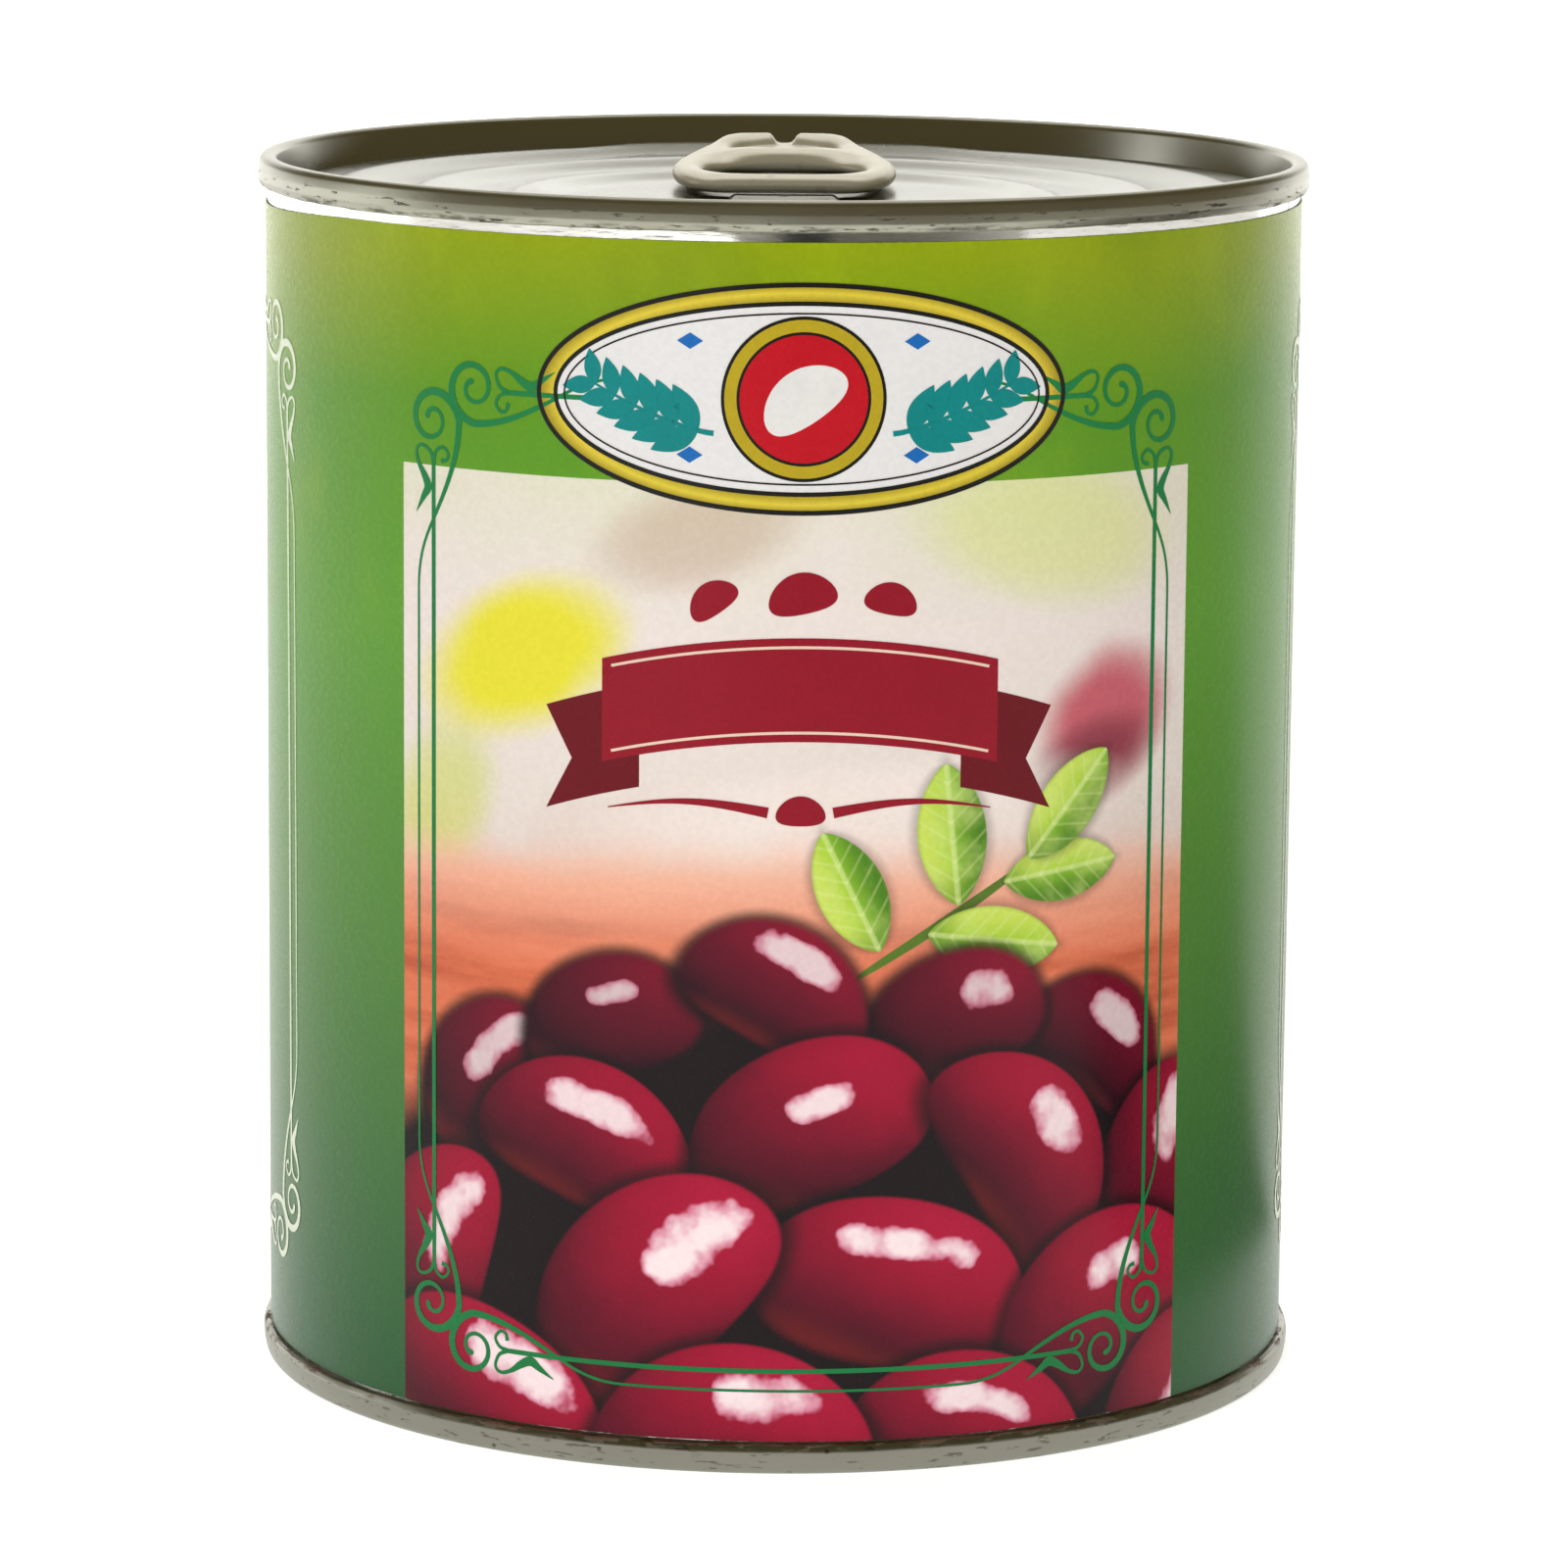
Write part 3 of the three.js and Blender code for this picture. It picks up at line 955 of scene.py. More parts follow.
def inked(outline, centre, lift, rings=4, thickness=INK_FILM):
    """A filled shape on the label from a closed (arc, height) outline about its centre."""
    count = len(outline)
    line = np.array(outline, dtype=float)
    middle = np.array(centre, dtype=float)
    vertices = [on_label(*middle, lift)]
    for ring in range(1, rings + 1):
        for point in middle + (line - middle) * ring / rings:
            vertices.append(on_label(*point, lift))
    edge = 1 + (rings - 1) * count
    foot = len(vertices)
    for point in line:
        vertices.append(on_label(*point, lift - thickness))
    vertices.append(on_label(*middle, lift - thickness))
    faces = []
    for j in range(count):
        k = (j + 1) % count
        faces.append((0, 1 + j, 1 + k))
        for ring in range(rings - 1):
            low, high = 1 + ring * count, 1 + (ring + 1) * count
            faces.append((low + j, high + j, high + k, low + k))
        faces.append((edge + j, foot + j, foot + k, edge + k))
        faces.append((foot + count, foot + k, foot + j))
    return vertices, faces


def band(lower, upper, lift, rows, thickness=INK_FILM):
    """A field of ink between two lines of equal count, as a thin closed slab."""
    count = len(lower)
    vertices = []
    for level in (lift, lift - thickness):
        for (x0, y0), (x1, y1) in zip(lower, upper):
            for k in range(rows + 1):
                share = k / rows
                vertices.append(on_label(x0 + (x1 - x0) * share, y0 + (y1 - y0) * share, level))

    def corner(level, i, k):
        return (level * count + i) * (rows + 1) + k

    faces = []
    for i in range(count - 1):
        for k in range(rows):
            faces.append(face(corner, (0, i, k), (0, i + 1, k), (0, i + 1, k + 1), (0, i, k + 1)))
            faces.append(face(corner, (1, i, k), (1, i, k + 1), (1, i + 1, k + 1), (1, i + 1, k)))
        faces.append(face(corner, (1, i, 0), (1, i + 1, 0), (0, i + 1, 0), (0, i, 0)))
        faces.append(face(corner, (0, i, rows), (0, i + 1, rows), (1, i + 1, rows), (1, i, rows)))
    for k in range(rows):
        last = count - 1
        faces.append(face(corner, (0, 0, k), (0, 0, k + 1), (1, 0, k + 1), (1, 0, k)))
        faces.append(face(corner, (1, last, k), (1, last, k + 1), (0, last, k + 1), (0, last, k)))
    return vertices, faces


def through(points, steps=6):
    """A smooth line through points."""
    line = [np.array(point, dtype=float) for point in points]
    line = [2 * line[0] - line[1]] + line + [2 * line[-1] - line[-2]]
    smoothed = [line[1]]
    for p0, p1, p2, p3 in zip(line, line[1:], line[2:], line[3:]):
        for k in range(1, steps + 1):
            t = k / steps
            smoothed.append(0.5 * (
                2 * p1 + (p2 - p0) * t + (2 * p0 - 5 * p1 + 4 * p2 - p3) * t ** 2
                + (3 * p1 - p0 - 3 * p2 + p3) * t ** 3))
    return smoothed


def scroll_arm():
    """Strokes of one arm as (points, widths): along the line to the corner, and inwards from the line."""
    points = [(BEND_START, -LINE_GAP)]
    points += bezier((BEND_START, -LINE_GAP), (-3.5, -LINE_GAP), (-1.6, -0.9), (0, 0), 10)
    points += bezier((0, 0), (3.0, 1.6), (6.0, 3.1), (9.3, 3.1), 14)
    x, y = SPIRAL_CENTRE
    for i in range(1, SPIRAL_STEPS + 1):
        angle = SPIRAL_TURNS * 2 * math.pi * i / SPIRAL_STEPS
        share = i / SPIRAL_STEPS
        radius = 2.9 - 2.4 * share + 0.4 * math.exp(-math.degrees(angle) / 40)
        points.append((x + radius * math.sin(angle), y + radius * math.cos(angle)))
    share = np.linspace(0, 1, len(points))
    stops = (0, 0.1, 0.2, 0.34, 0.5, 0.72, 0.9, 0.97, 1)
    widths = np.interp(share, stops, (THIN_LINE, 0.3, 0.5, 0.78, 0.62, 0.36, 0.42, 0.62, 0.2))
    strokes = [(points, widths)]
    for curl, curl_widths in ((OUTER_CURL, OUTER_CURL_WIDTHS), (INNER_CURL, INNER_CURL_WIDTHS)):
        line = through(curl)
        widths = np.interp(np.linspace(0, 1, len(line)), np.linspace(0, 1, len(curl)), curl_widths)
        strokes.append((line, widths))
    return strokes


def placed_arm(crossing, towards, inwards, lift):
    """One arm of scrolls on the label, from its crossing point and two directions."""
    shapes = []
    x, y = crossing
    for points, widths in scroll_arm():
        line = [(x + t * towards[0] + n * inwards[0], y + t * towards[1] + n * inwards[1]) for t, n in points]
        shapes.append(ribbon(line, widths, lift))
    return shapes


def straight(start, end, width, lift):
    length = math.dist(start, end)
    steps = max(2, round(length / 0.8))
    points = [(start[0] + (end[0] - start[0]) * i / steps, start[1] + (end[1] - start[1]) * i / steps)
              for i in range(steps + 1)]
    return ribbon(points, width, lift)


def scroll_frame(middle, half, low, high, side_low, side_high, foot_half, lift, top_row=None):
    """Double-line frame with scroll arms: sides, foot, and arms along the top row."""
    def row(level, reach_out, width):
        return straight((middle - reach_out, level), (middle + reach_out, level), width, lift)

    shapes = []
    for side in (-1, 1):
        x = middle + side * half
        inwards = (-side, 0)
        shapes += placed_arm((x, side_high), (0, 1), inwards, lift)
        shapes += placed_arm((x, side_low), (0, -1), inwards, lift)
        shapes.append(straight((x, side_low - BUD_FOOT), (x, side_high + BUD_FOOT), THICK_LINE, lift))
        outer = x + side * LINE_GAP
        ends = ((outer, side_low - BEND_START), (outer, side_high + BEND_START))
        shapes.append(straight(*ends, THIN_LINE, lift))
        foot = (middle + side * foot_half, low)
        shapes += placed_arm(foot, (side, 0), (0, 1), lift)
        shapes += placed_arm((middle + side * foot_half, high), (side, 0), (0, -1), lift)
    span = foot_half + BUD_FOOT
    thin = foot_half + BEND_START
    shapes.append(row(low, span, THICK_LINE))
    shapes.append(row(low - LINE_GAP, thin, THIN_LINE))
    if top_row is None:
        shapes.append(row(high, span, THICK_LINE))
        shapes.append(row(high + LINE_GAP, thin, THIN_LINE))
    else:
        for side in (-1, 1):
            ends = ((middle + side * top_row, high), (middle + side * span, high))
            shapes.append(straight(*ends, THICK_LINE, lift))
    return shapes


def kidney(centre, length, width, turn, bend, count=40):
    """Outline of a bean on the label."""
    angle = math.radians(turn)
    points = []
    for i in range(count):
        phase = 2 * math.pi * i / count
        a = math.cos(phase)
        b = math.sin(phase) - bend * (a * a - 0.35)
        x, y = a * length / 2, b * width / 2
        points.append((centre[0] + x * math.cos(angle) - y * math.sin(angle),
                       centre[1] + x * math.sin(angle) + y * math.cos(angle)))
    return points


def leaf(base, length, width, turn, count=16):
    """Outline of a pointed leaf on the label, and its centre."""
    angle = math.radians(turn)
    edge = []
    for i in range(count + 1):
        t = i / count
        half = width / 2 * math.sin(math.pi * t ** 0.85) ** 0.9 if 0 < i < count else 0.0
        edge.append((t * length, half))
    outline = edge + [(x, -y) for x, y in reversed(edge[1:-1])]
    turned_points = [(base[0] + x * math.cos(angle) - y * math.sin(angle),
                      base[1] + x * math.sin(angle) + y * math.cos(angle)) for x, y in outline]
    centre = (base[0] + length * 0.48 * math.cos(angle), base[1] + length * 0.48 * math.sin(angle))
    return turned_points, centre


def oval(middle, half_width, half_height, count=180):
    return [(middle[0] + half_width * math.cos(a), middle[1] + half_height * math.sin(a))
            for a in np.linspace(0, 2 * math.pi, count, endpoint=False)]


def rolled_place(place, stretch):
    """Coordinates in millimetres, drawn out round the can by a factor."""
    x, y, z = place.parts()
    arc = x.math("ARCTAN2", -y) * (ROLL_RADIUS / stretch)
    radius = (x.squared() + y.squared()).math("SQRT") * MM_IN_METRE
    height = z * MM_IN_METRE
    return place.node("ShaderNodeCombineXYZ", {}, {0: arc, 1: radius, 2: height}), radius, height


def seam_marks(place):
    """Long dark scratches and small specks that seaming rolls leave on tin."""
    rolled = rolled_place(place, 5.0)[0]
    scratch = rolled.noise(2.4, 3.0, 0.6).step(0.6, 0.67)
    speck = place.cells(460.0).step(0.15, 0.06) * place.noise(150.0).step(0.5, 0.62)
    return scratch, speck


def tin_finish(name, base, roughness, rust_at):
    """Dull rolled tinplate with scratches, stains and rust near one height of the can."""
    material, shader, place = new_finish(name)
    rolled, radius, height = rolled_place(place, 4.0)
    cloud = place.noise(90.0, 4.0)
    brushed = rolled.noise(1.4, 3.0)
    scratch, speck = seam_marks(place)
    near = abs(height - rust_at).step(0.75, 0.15)
    rust = near * rolled.noise(1.6, 4.0, 0.7).step(0.5, 0.62)
    stain = place.noise(45.0, 5.0, 0.6).step(0.48, 0.75)
    colour = cloud.blend([v * 0.88 for v in base], [min(1, v * 1.08) for v in base])
    colour = (stain * 0.3).blend(colour, [base[0] * 0.84, base[1] * 0.8, base[2] * 0.68])
    colour = ((scratch * 0.55 + speck * 0.6) * radius.step(49.9, 50.4)).blend(colour, ink(52, 46, 36))
    colour = (rust * 0.9).blend(colour, colours().rust)
    dull = cloud.scaled(0.1, roughness - 0.05) + rust * 0.35
    relief = brushed * 0.5 + rust * 0.6 - speck * 0.5
    dress(shader, base_color=colour, metallic=1.0 - rust * 0.85, roughness=dull,
          normal=relief.bump(0.12, 0.0002))
    return material


def strip_finish():
    """Bright bare tin of the body, with the dark line of its weld."""
    material, shader, place = new_finish("body_tin")
    rolled = rolled_place(place, 6.0)[0]
    arc = flat_place(place)[0]
    streak = rolled.noise(2.2, 3.0)
    weld = abs(arc - WELD_ARC).step(0.5, 0.2)
    colour = streak.blend(ink(206, 206, 202), ink(238, 238, 236))
    colour = (weld * 0.9).blend(colour, ink(38, 36, 34))
    dress(shader, base_color=colour, metallic=1.0, roughness=streak.scaled(0.1, 0.05),
          normal=streak.bump(0.1, 0.0002))
    return material


def lid_finish():
    """Lid: lacquered panel inside, duller tin on the seam, with scratches and stains."""
    base = tuple(colours().lid)
    tin = tuple(colours().tin)
    material, shader, place = new_finish("lid_tin")
    rolled, radius, height = rolled_place(place, 5.0)
    seam = radius.step(48.9, 49.8)
    cloud = place.noise(70.0, 4.0)
    ring_sockets = {"W": radius, "Scale": 3.0, "Detail": 3.0}
    rings = radius.node("ShaderNodeTexNoise", {"noise_dimensions": "1D"}, ring_sockets)
    fine = place.noise(2400.0, 2.0)
    scratch, speck = seam_marks(place)
    low_half = height.step(118.0, 117.0)
    marks = (scratch * low_half + speck * 0.8) * radius.step(50.4, 50.7)
    low_edge = height.step(116.6, 116.0) * radius.step(50.2, 50.6)
    grime = low_edge * rolled.noise(1.3, 3.0, 0.7).step(0.5, 0.64)
    stain = place.noise(60.0, 5.0, 0.62).step(0.5, 0.78)
    wall = cloud.blend([v * 0.85 for v in tin], [min(1, v * 1.08) for v in tin])
    colour = seam.blend(cloud.blend([v * 0.93 for v in base], base), wall)
    colour = (stain * seam * 0.4).blend(colour, ink(140, 134, 112))
    colour = (marks * 0.75).blend(colour, ink(46, 42, 34))
    colour = (grime * 0.7).blend(colour, ink(58, 48, 34))
    dull = cloud.scaled(0.08, 0.24) + seam * 0.06 + marks * 0.2 + grime * 0.25
    relief = rings * (1.0 - seam) * 0.5 + fine * 0.3 - marks * 0.5
    dress(shader, base_color=colour, metallic=1.0 - grime * 0.5, roughness=dull,
          normal=relief.bump(0.1, 0.0002))
    return material


def ring_finish():
    base = tuple(colours().ring)
    material, shader, place = new_finish("ring_steel")
    cloud = place.noise(160.0, 4.0)
    fine = place.noise(1800.0, 2.0)
    drawn = place.stretched(1.0, 8.0, 1.0).noise(320.0, 3.0)
    colour = cloud.blend([v * 0.9 for v in base], base)
    colour = (place.noise(420.0, 3.0).step(0.62, 0.74) * 0.3).blend(colour, ink(150, 140, 112))
    dress(shader, base_color=colour, metallic=0.75, roughness=cloud.scaled(0.1, 0.4),
          normal=(fine * 0.4 + drawn * 0.3).bump(0.08, 0.0002))
    return material


def flat_place(place):
    """Arc and height on the flat label, in millimetres."""
    x, y, z = place.parts()
    return x.math("ARCTAN2", -y) * (sizes().label_radius / MM), z * MM_IN_METRE


def paper_feel(place, shader, colour, gloss=0.27):
    """Coated paper: a fine screen grain in the ink, soft fibre relief and uneven gloss."""
    fibre = place.noise(1500.0, 2.0)
    sag = place.stretched(1.0, 1.0, 0.35).noise(60.0, 2.0)
    grained = (fibre.step(0.6, 0.3) * 0.035).blend(colour, (0.0, 0.0, 0.0))
    dress(shader, base_color=grained, roughness=fibre.scaled(0.08, gloss - 0.04), metallic=0.0,
          normal=(fibre * 0.12 + sag * 0.8).bump(0.06, 0.0004))
    shader.inputs["Specular IOR Level"].default_value = PAPER_GLOSS


def wrap_finish():
    """Green ground of the label, from yellow green at the top to deep green at the foot."""
    inks = colours()
    material, shader, place = new_finish("label_green")
    arc, height = flat_place(place)
    cloud = place.noise(34.0, 3.0)
    leafy = place.stretched(1.0, 1.0, 0.6).noise(60.0, 3.0, 0.6)
    level = (height + (cloud - 0.5) * 8.0) / 118.0
    green = level.ramp(
        (0.04, inks.label_foot),
        (0.2, ink(56, 106, 54)),
        (0.4, ink(76, 128, 52)),
        (0.66, inks.label_middle),
        (0.84, ink(88, 144, 24)),
        (0.96, inks.label_top),
    )
    dapple = leafy.step(0.52, 0.75) * height.step(86.0, 108.0) * 0.5
    green = dapple.blend(green, ink(104, 132, 0))
    sun = leafy.step(0.5, 0.3) * height.step(70.0, 100.0) * 0.3
    green = sun.blend(green, ink(164, 186, 10))
    paper_feel(place, shader, green)
    return material


def new_group(name, inputs):
    """A node group that paints over a canvas: its tree and its inputs as fields."""
    tree = bpy.data.node_groups.new(name, "ShaderNodeTree")
    tree.interface.new_socket("Canvas", in_out="INPUT", socket_type="NodeSocketColor")
    for key in inputs:
        tree.interface.new_socket(key, in_out="INPUT", socket_type="NodeSocketFloat")
    tree.interface.new_socket("Canvas", in_out="OUTPUT", socket_type="NodeSocketColor")
    entry = tree.nodes.new("NodeGroupInput")
    return tree, {socket.name: Field(tree, socket) for socket in entry.outputs if socket.name}


def close_group(tree, canvas):
    leave = tree.nodes.new("NodeGroupOutput")
    tree.links.new(canvas.socket, leave.inputs[0])
    return tree


PLACE_INPUTS = ("Arc", "Height", "Ragged", "Middle arc", "Middle height", "Cosine", "Sine",
                "Half length", "Half width")
BEAN_INPUTS = ("Light", "Softness", "Bend", "Sun along", "Sun across", "Glint along", "Glint across",
               "Glint length", "Glint width")


def local_place(value):
    """Coordinates along and across a turned shape, 1 at its ends and sides."""
    x = value["Arc"] - value["Middle arc"]
    y = value["Height"] - value["Middle height"]
    along = (x * value["Cosine"] + y * value["Sine"]) / value["Half length"]
    across = (y * value["Cosine"] - x * value["Sine"]) / value["Half width"]
    return along, across


def bean_group():
    """Paints one glossy bean: a dark gap round it, rounded shading and a ragged window of light."""
    tree, value = new_group("printed_bean", PLACE_INPUTS + BEAN_INPUTS)
    along, across = local_place(value)
    flat = along.squared()
    across = across + value["Bend"] * (flat - 0.35)
    inside = flat * flat.scaled(0.3, 0.7) + across.squared()
    canvas = (inside.step(1.5, 0.98) * 0.8).blend(value["Canvas"], ink(16, 5, 11))
    bulge = (1.0 - inside).math("MAXIMUM", 0.0).math("SQRT")
    towards = along * value["Sun along"] + across * value["Sun across"]
    lit = (towards * 0.9 + bulge * 0.5 + value["Ragged"] * 0.22).scaled(0.46, 0.34) * value["Light"]
    skin = lit.ramp(
        (0.0, ink(12, 3, 10)),
        (0.2, ink(42, 0, 18)),
        (0.42, ink(98, 0, 32)),
        (0.62, colours().bean),
        (0.84, ink(182, 12, 60)),
        (1.0, ink(212, 70, 102)),
    )
    glint_along = (along - value["Glint along"]) / value["Glint length"]
    glint_across = (across - value["Glint across"]) / value["Glint width"]
    glint = glint_along.squared().squared() + glint_across.squared() * 0.9 + value["Ragged"] * 3.4
    shine = glint.step(0.9, 0.0).blend(ink(214, 128, 156), ink(250, 232, 238))
    skin = (glint.step(1.1, 0.7) * value["Light"] * 0.95).blend(skin, shine)
    glow = towards.step(-0.42, -0.74) * inside.step(1.0, 0.7) * value["Light"] * 0.4
    skin = glow.blend(skin, ink(150, 34, 34))
    mask = ((1.0 - inside) / value["Softness"]).step(-1.0, 1.0)
    return close_group(tree, mask.blend(canvas, skin))


def leaf_group():
    """Paints one pointed leaf with a midrib and faint side veins."""
    tree, value = new_group("printed_leaf", PLACE_INPUTS)
    along, across = local_place(value)
    room = (along * (1.0 - along) * 4.0).math("MAXIMUM", 0.0).math("POWER", 0.72)
    beside = abs(across)
    inner = room - beside
    span = along.step(-0.06, 0.08) * along.step(1.1, 0.98)
    canvas = (inner.step(-0.35, 0.1) * span * 0.45).blend(value["Canvas"], ink(34, 26, 10))
    veins = (along - beside * 0.2).scaled(46.0, 0.0).math("SINE").step(0.7, 1.0)
    rib = beside.step(0.12, 0.03)
    green = across.step(-0.9, 0.9).ramp(
        (0.0, ink(70, 124, 24)),
        (0.46, ink(128, 178, 40)),
        (0.54, ink(160, 200, 50)),
        (1.0, ink(196, 218, 90)),
    )
    green = (value["Ragged"].step(-0.12, 0.25) * 0.55).blend(green, ink(204, 222, 128))
    green = (along.step(0.3, 0.0) * 0.5).blend(green, ink(60, 104, 26))
    green = (veins * 0.2 + rib * 0.45).blend(green, ink(220, 234, 160))
    green = (inner.step(0.16, 0.0) * 0.4).blend(green, ink(90, 136, 36))
    return close_group(tree, inner.step(0.0, 0.06).blend(canvas, green))


class Picture:
    """The printed picture: a colour field that beans, leaves and blurs are painted onto in order."""

    sun = (0.46, 0.64)

    def __init__(self, place):
        self.arc, self.height = flat_place(place)
        self.arc = self.arc - PANEL_MIDDLE
        self.ragged = place.noise(230.0, 3.0, 0.55) - 0.5
        self.soft = place.noise(120.0, 3.0)
        self.colour = None
        self.bean_tree = bean_group()
        self.leaf_tree = leaf_group()

    def paint(self, mask, colour):
        self.colour = mask.blend(self.colour, colour)

    def blur(self, centre, size, turn, colour, strength, soft=1.0):
        """An out-of-focus patch of colour."""
        angle = math.radians(turn)
        x, y = self.arc - centre[0], self.height - centre[1]
        along = x * (math.cos(angle) / size[0]) + y * (math.sin(angle) / size[0])
        across = y * (math.cos(angle) / size[1]) - x * (math.sin(angle) / size[1])
        reach_out = along.squared() + across.squared() + self.soft.scaled(0.5, -0.25)
        self.paint(reach_out.step(1.0 + soft * 0.5, 1.0 - soft) * strength, colour)

    def stamp(self, tree, centre, turn, half_length, half_width, **extra):
        """Paints a bean or a leaf by its node group."""
        angle = math.radians(turn)
        inputs = {
            "Canvas": self.colour, "Arc": self.arc, "Height": self.height, "Ragged": self.ragged,
            "Middle arc": centre[0], "Middle height": centre[1],
            "Cosine": math.cos(angle), "Sine": math.sin(angle),
            "Half length": half_length, "Half width": half_width,
        }
        inputs.update({key.replace("_", " ").capitalize(): value for key, value in extra.items()})
        self.colour = self.arc.node("ShaderNodeGroup", {"node_tree": tree}, inputs)

    def bean(self, centre, length, width, turn, light, bend, patch):
        angle = math.radians(turn)
        sun_along = self.sun[0] * math.cos(angle) + self.sun[1] * math.sin(angle)
        sun_across = self.sun[1] * math.cos(angle) - self.sun[0] * math.sin(angle)
        self.stamp(
            self.bean_tree, centre, turn, length / 2, width / 2, light=light, bend=bend,
            softness=0.05 if light > 0.8 else 0.16, sun_along=sun_along, sun_across=sun_across,
            glint_along=sun_along * 0.45 + patch[0], glint_across=sun_across * 0.62 + patch[1],
            glint_length=patch[2], glint_width=patch[3])

    def leaf(self, foot, length, width, turn):
        self.stamp(self.leaf_tree, foot, turn, length, width / 2)


# Beans of the picture from back to front: centre, length, width, turn, light
BEANS = (
    ((-31, 36), 18, 12, 50, 0.66),
    ((30, 39), 18, 11.5, -35, 0.64),
    ((-18, 42.5), 18, 11.5, 18, 0.62),
    ((15, 43), 18, 12, 14, 0.68),
    ((-2, 45.5), 19, 12, -30, 0.72),
    ((-20, 30.5), 23, 14, -22, 0.86),
    ((38, 26), 22, 14, 70, 0.84),
    ((1, 33), 24, 15, 24, 0.9),
    ((22, 29), 24, 15, -60, 0.9),
    ((-37, 18), 23, 14.5, 74, 0.88),
    ((9, 17.5), 27, 16.5, -10, 1.0),
    ((-14, 17), 28, 17, 46, 1.0),
    ((31, 13), 27, 16.5, 30, 1.0),
    ((40, 1.5), 24, 15, 62, 0.95),
    ((-31, 5), 27, 16.5, -22, 0.98),
    ((17, 2), 26, 16, -16, 0.97),
    ((-7, 2.5), 28, 17, 12, 1.0),
)
# Twig behind the beans: foot of each leaf, length, width, turn
TWIG = (
    ((7.5, 49.5), 12.5, 6.6, 116),
    ((12, 51), 13.5, 6.6, -8),
    ((15, 53.5), 13.5, 7, 96),
    ((19.5, 55.5), 12.5, 6, 6),
    ((22, 57.5), 13, 6.4, 48),
)
TWIG_MIDDLE = (13.5, 52)
TWIG_HALF = (11, 0.5)
TWIG_TURN = 31


def painted_beans(picture):
    """Paints the beans with windows of light that differ from bean to bean."""
    for i, (centre, length, width, turn, light) in enumerate(BEANS):
        swing = math.sin(i * 2.4)
        bend = 0.3 + 0.16 * math.sin(i * 1.7)
        offset = (0.14 * swing, 0.06 * math.cos(i * 3.1))
        patch = (*offset, 0.4 + 0.12 * math.cos(i * 1.3), 0.24 + 0.06 * swing)
        picture.bean(centre, length, width, turn, light, bend, patch)


def picture_finish():
    """The picture: pale haze, a warm board, a heap of glossy beans and a twig."""
    inks = colours()
    material, shader, place = new_finish("label_picture")
    picture = Picture(place)
    level = picture.height / 93.0
    picture.colour = (level + picture.soft.scaled(0.16, -0.08)).ramp(
        (0.5, ink(210, 178, 170)), (0.7, inks.haze), (0.86, ink(226, 216, 214)), (1.0, ink(216, 214, 196)))
    picture.blur((-27, 76), (12, 7), 24, ink(222, 216, 4), 0.95, 0.75)
    picture.blur((-36, 62), (8, 6), 60, ink(196, 206, 60), 0.6, 0.9)
    picture.blur((31, 70), (8.5, 6.5), 35, ink(184, 22, 66), 0.85, 0.8)
    picture.blur((29, 66), (8, 4), 20, ink(86, 14, 40), 0.6, 0.9)
    picture.blur((24, 88), (14, 7), -10, ink(206, 216, 120), 0.6, 0.9)
    picture.blur((-10, 88), (10, 5), 15, ink(176, 140, 110), 0.45, 0.9)
    picture.blur((6, 62), (26, 5), 4, ink(238, 226, 222), 0.6, 0.9)
    grain = place.stretched(1.0, 1.0, 7.0).noise(46.0, 4.0, 0.6)
    board = grain.ramp((0.3, ink(186, 86, 56)), (0.5, inks.board), (0.7, ink(226, 128, 96)))
    board = picture.height.step(46.0, 61.0).blend(board, ink(240, 190, 166))
    far_edge = picture.height + (abs(picture.arc) * 0.05) + picture.soft * 3.0
    picture.paint(far_edge.step(63.0, 57.0), board)
    mound = picture.height + picture.arc.squared() * 0.008
    picture.paint(mound.step(49.0, 42.0), ink(20, 6, 11))
    picture.blur(TWIG_MIDDLE, TWIG_HALF, TWIG_TURN, ink(84, 116, 36), 1.0, 0.3)
    for foot, length, width, turn in TWIG:
        picture.leaf(foot, length, width, turn)
    painted_beans(picture)
    paper_feel(place, shader, picture.colour)
    return material


def ink_finish(name, colour, gloss=0.27, deep=0.85):
    """Printed ink with a little unevenness."""
    base = tuple(colour)
    material, shader, place = new_finish(name)
    cloud = place.noise(240.0, 3.0)
    paper_feel(place, shader, cloud.blend([v * deep for v in base], base), gloss)
    return material


def gold_finish():
    """Printed gold: a band of light runs round the rim."""
    base = tuple(colours().gold)
    material, shader, place = new_finish("label_gold")
    arc, height = flat_place(place)
    along = ((arc - MEDALLION[0]) / MEDALLION_HALF[0]).squared()
    across = ((height - MEDALLION[1]) / MEDALLION_HALF[1]).squared()
    rim = (along + across).math("SQRT")
    colour = rim.ramp(
        (0.84, [v * 0.6 for v in base]),
        (0.93, ink(214, 194, 60)),
        (1.0, [v * 0.55 for v in base]),
    )
    paper_feel(place, shader, colour, 0.28)
    return material


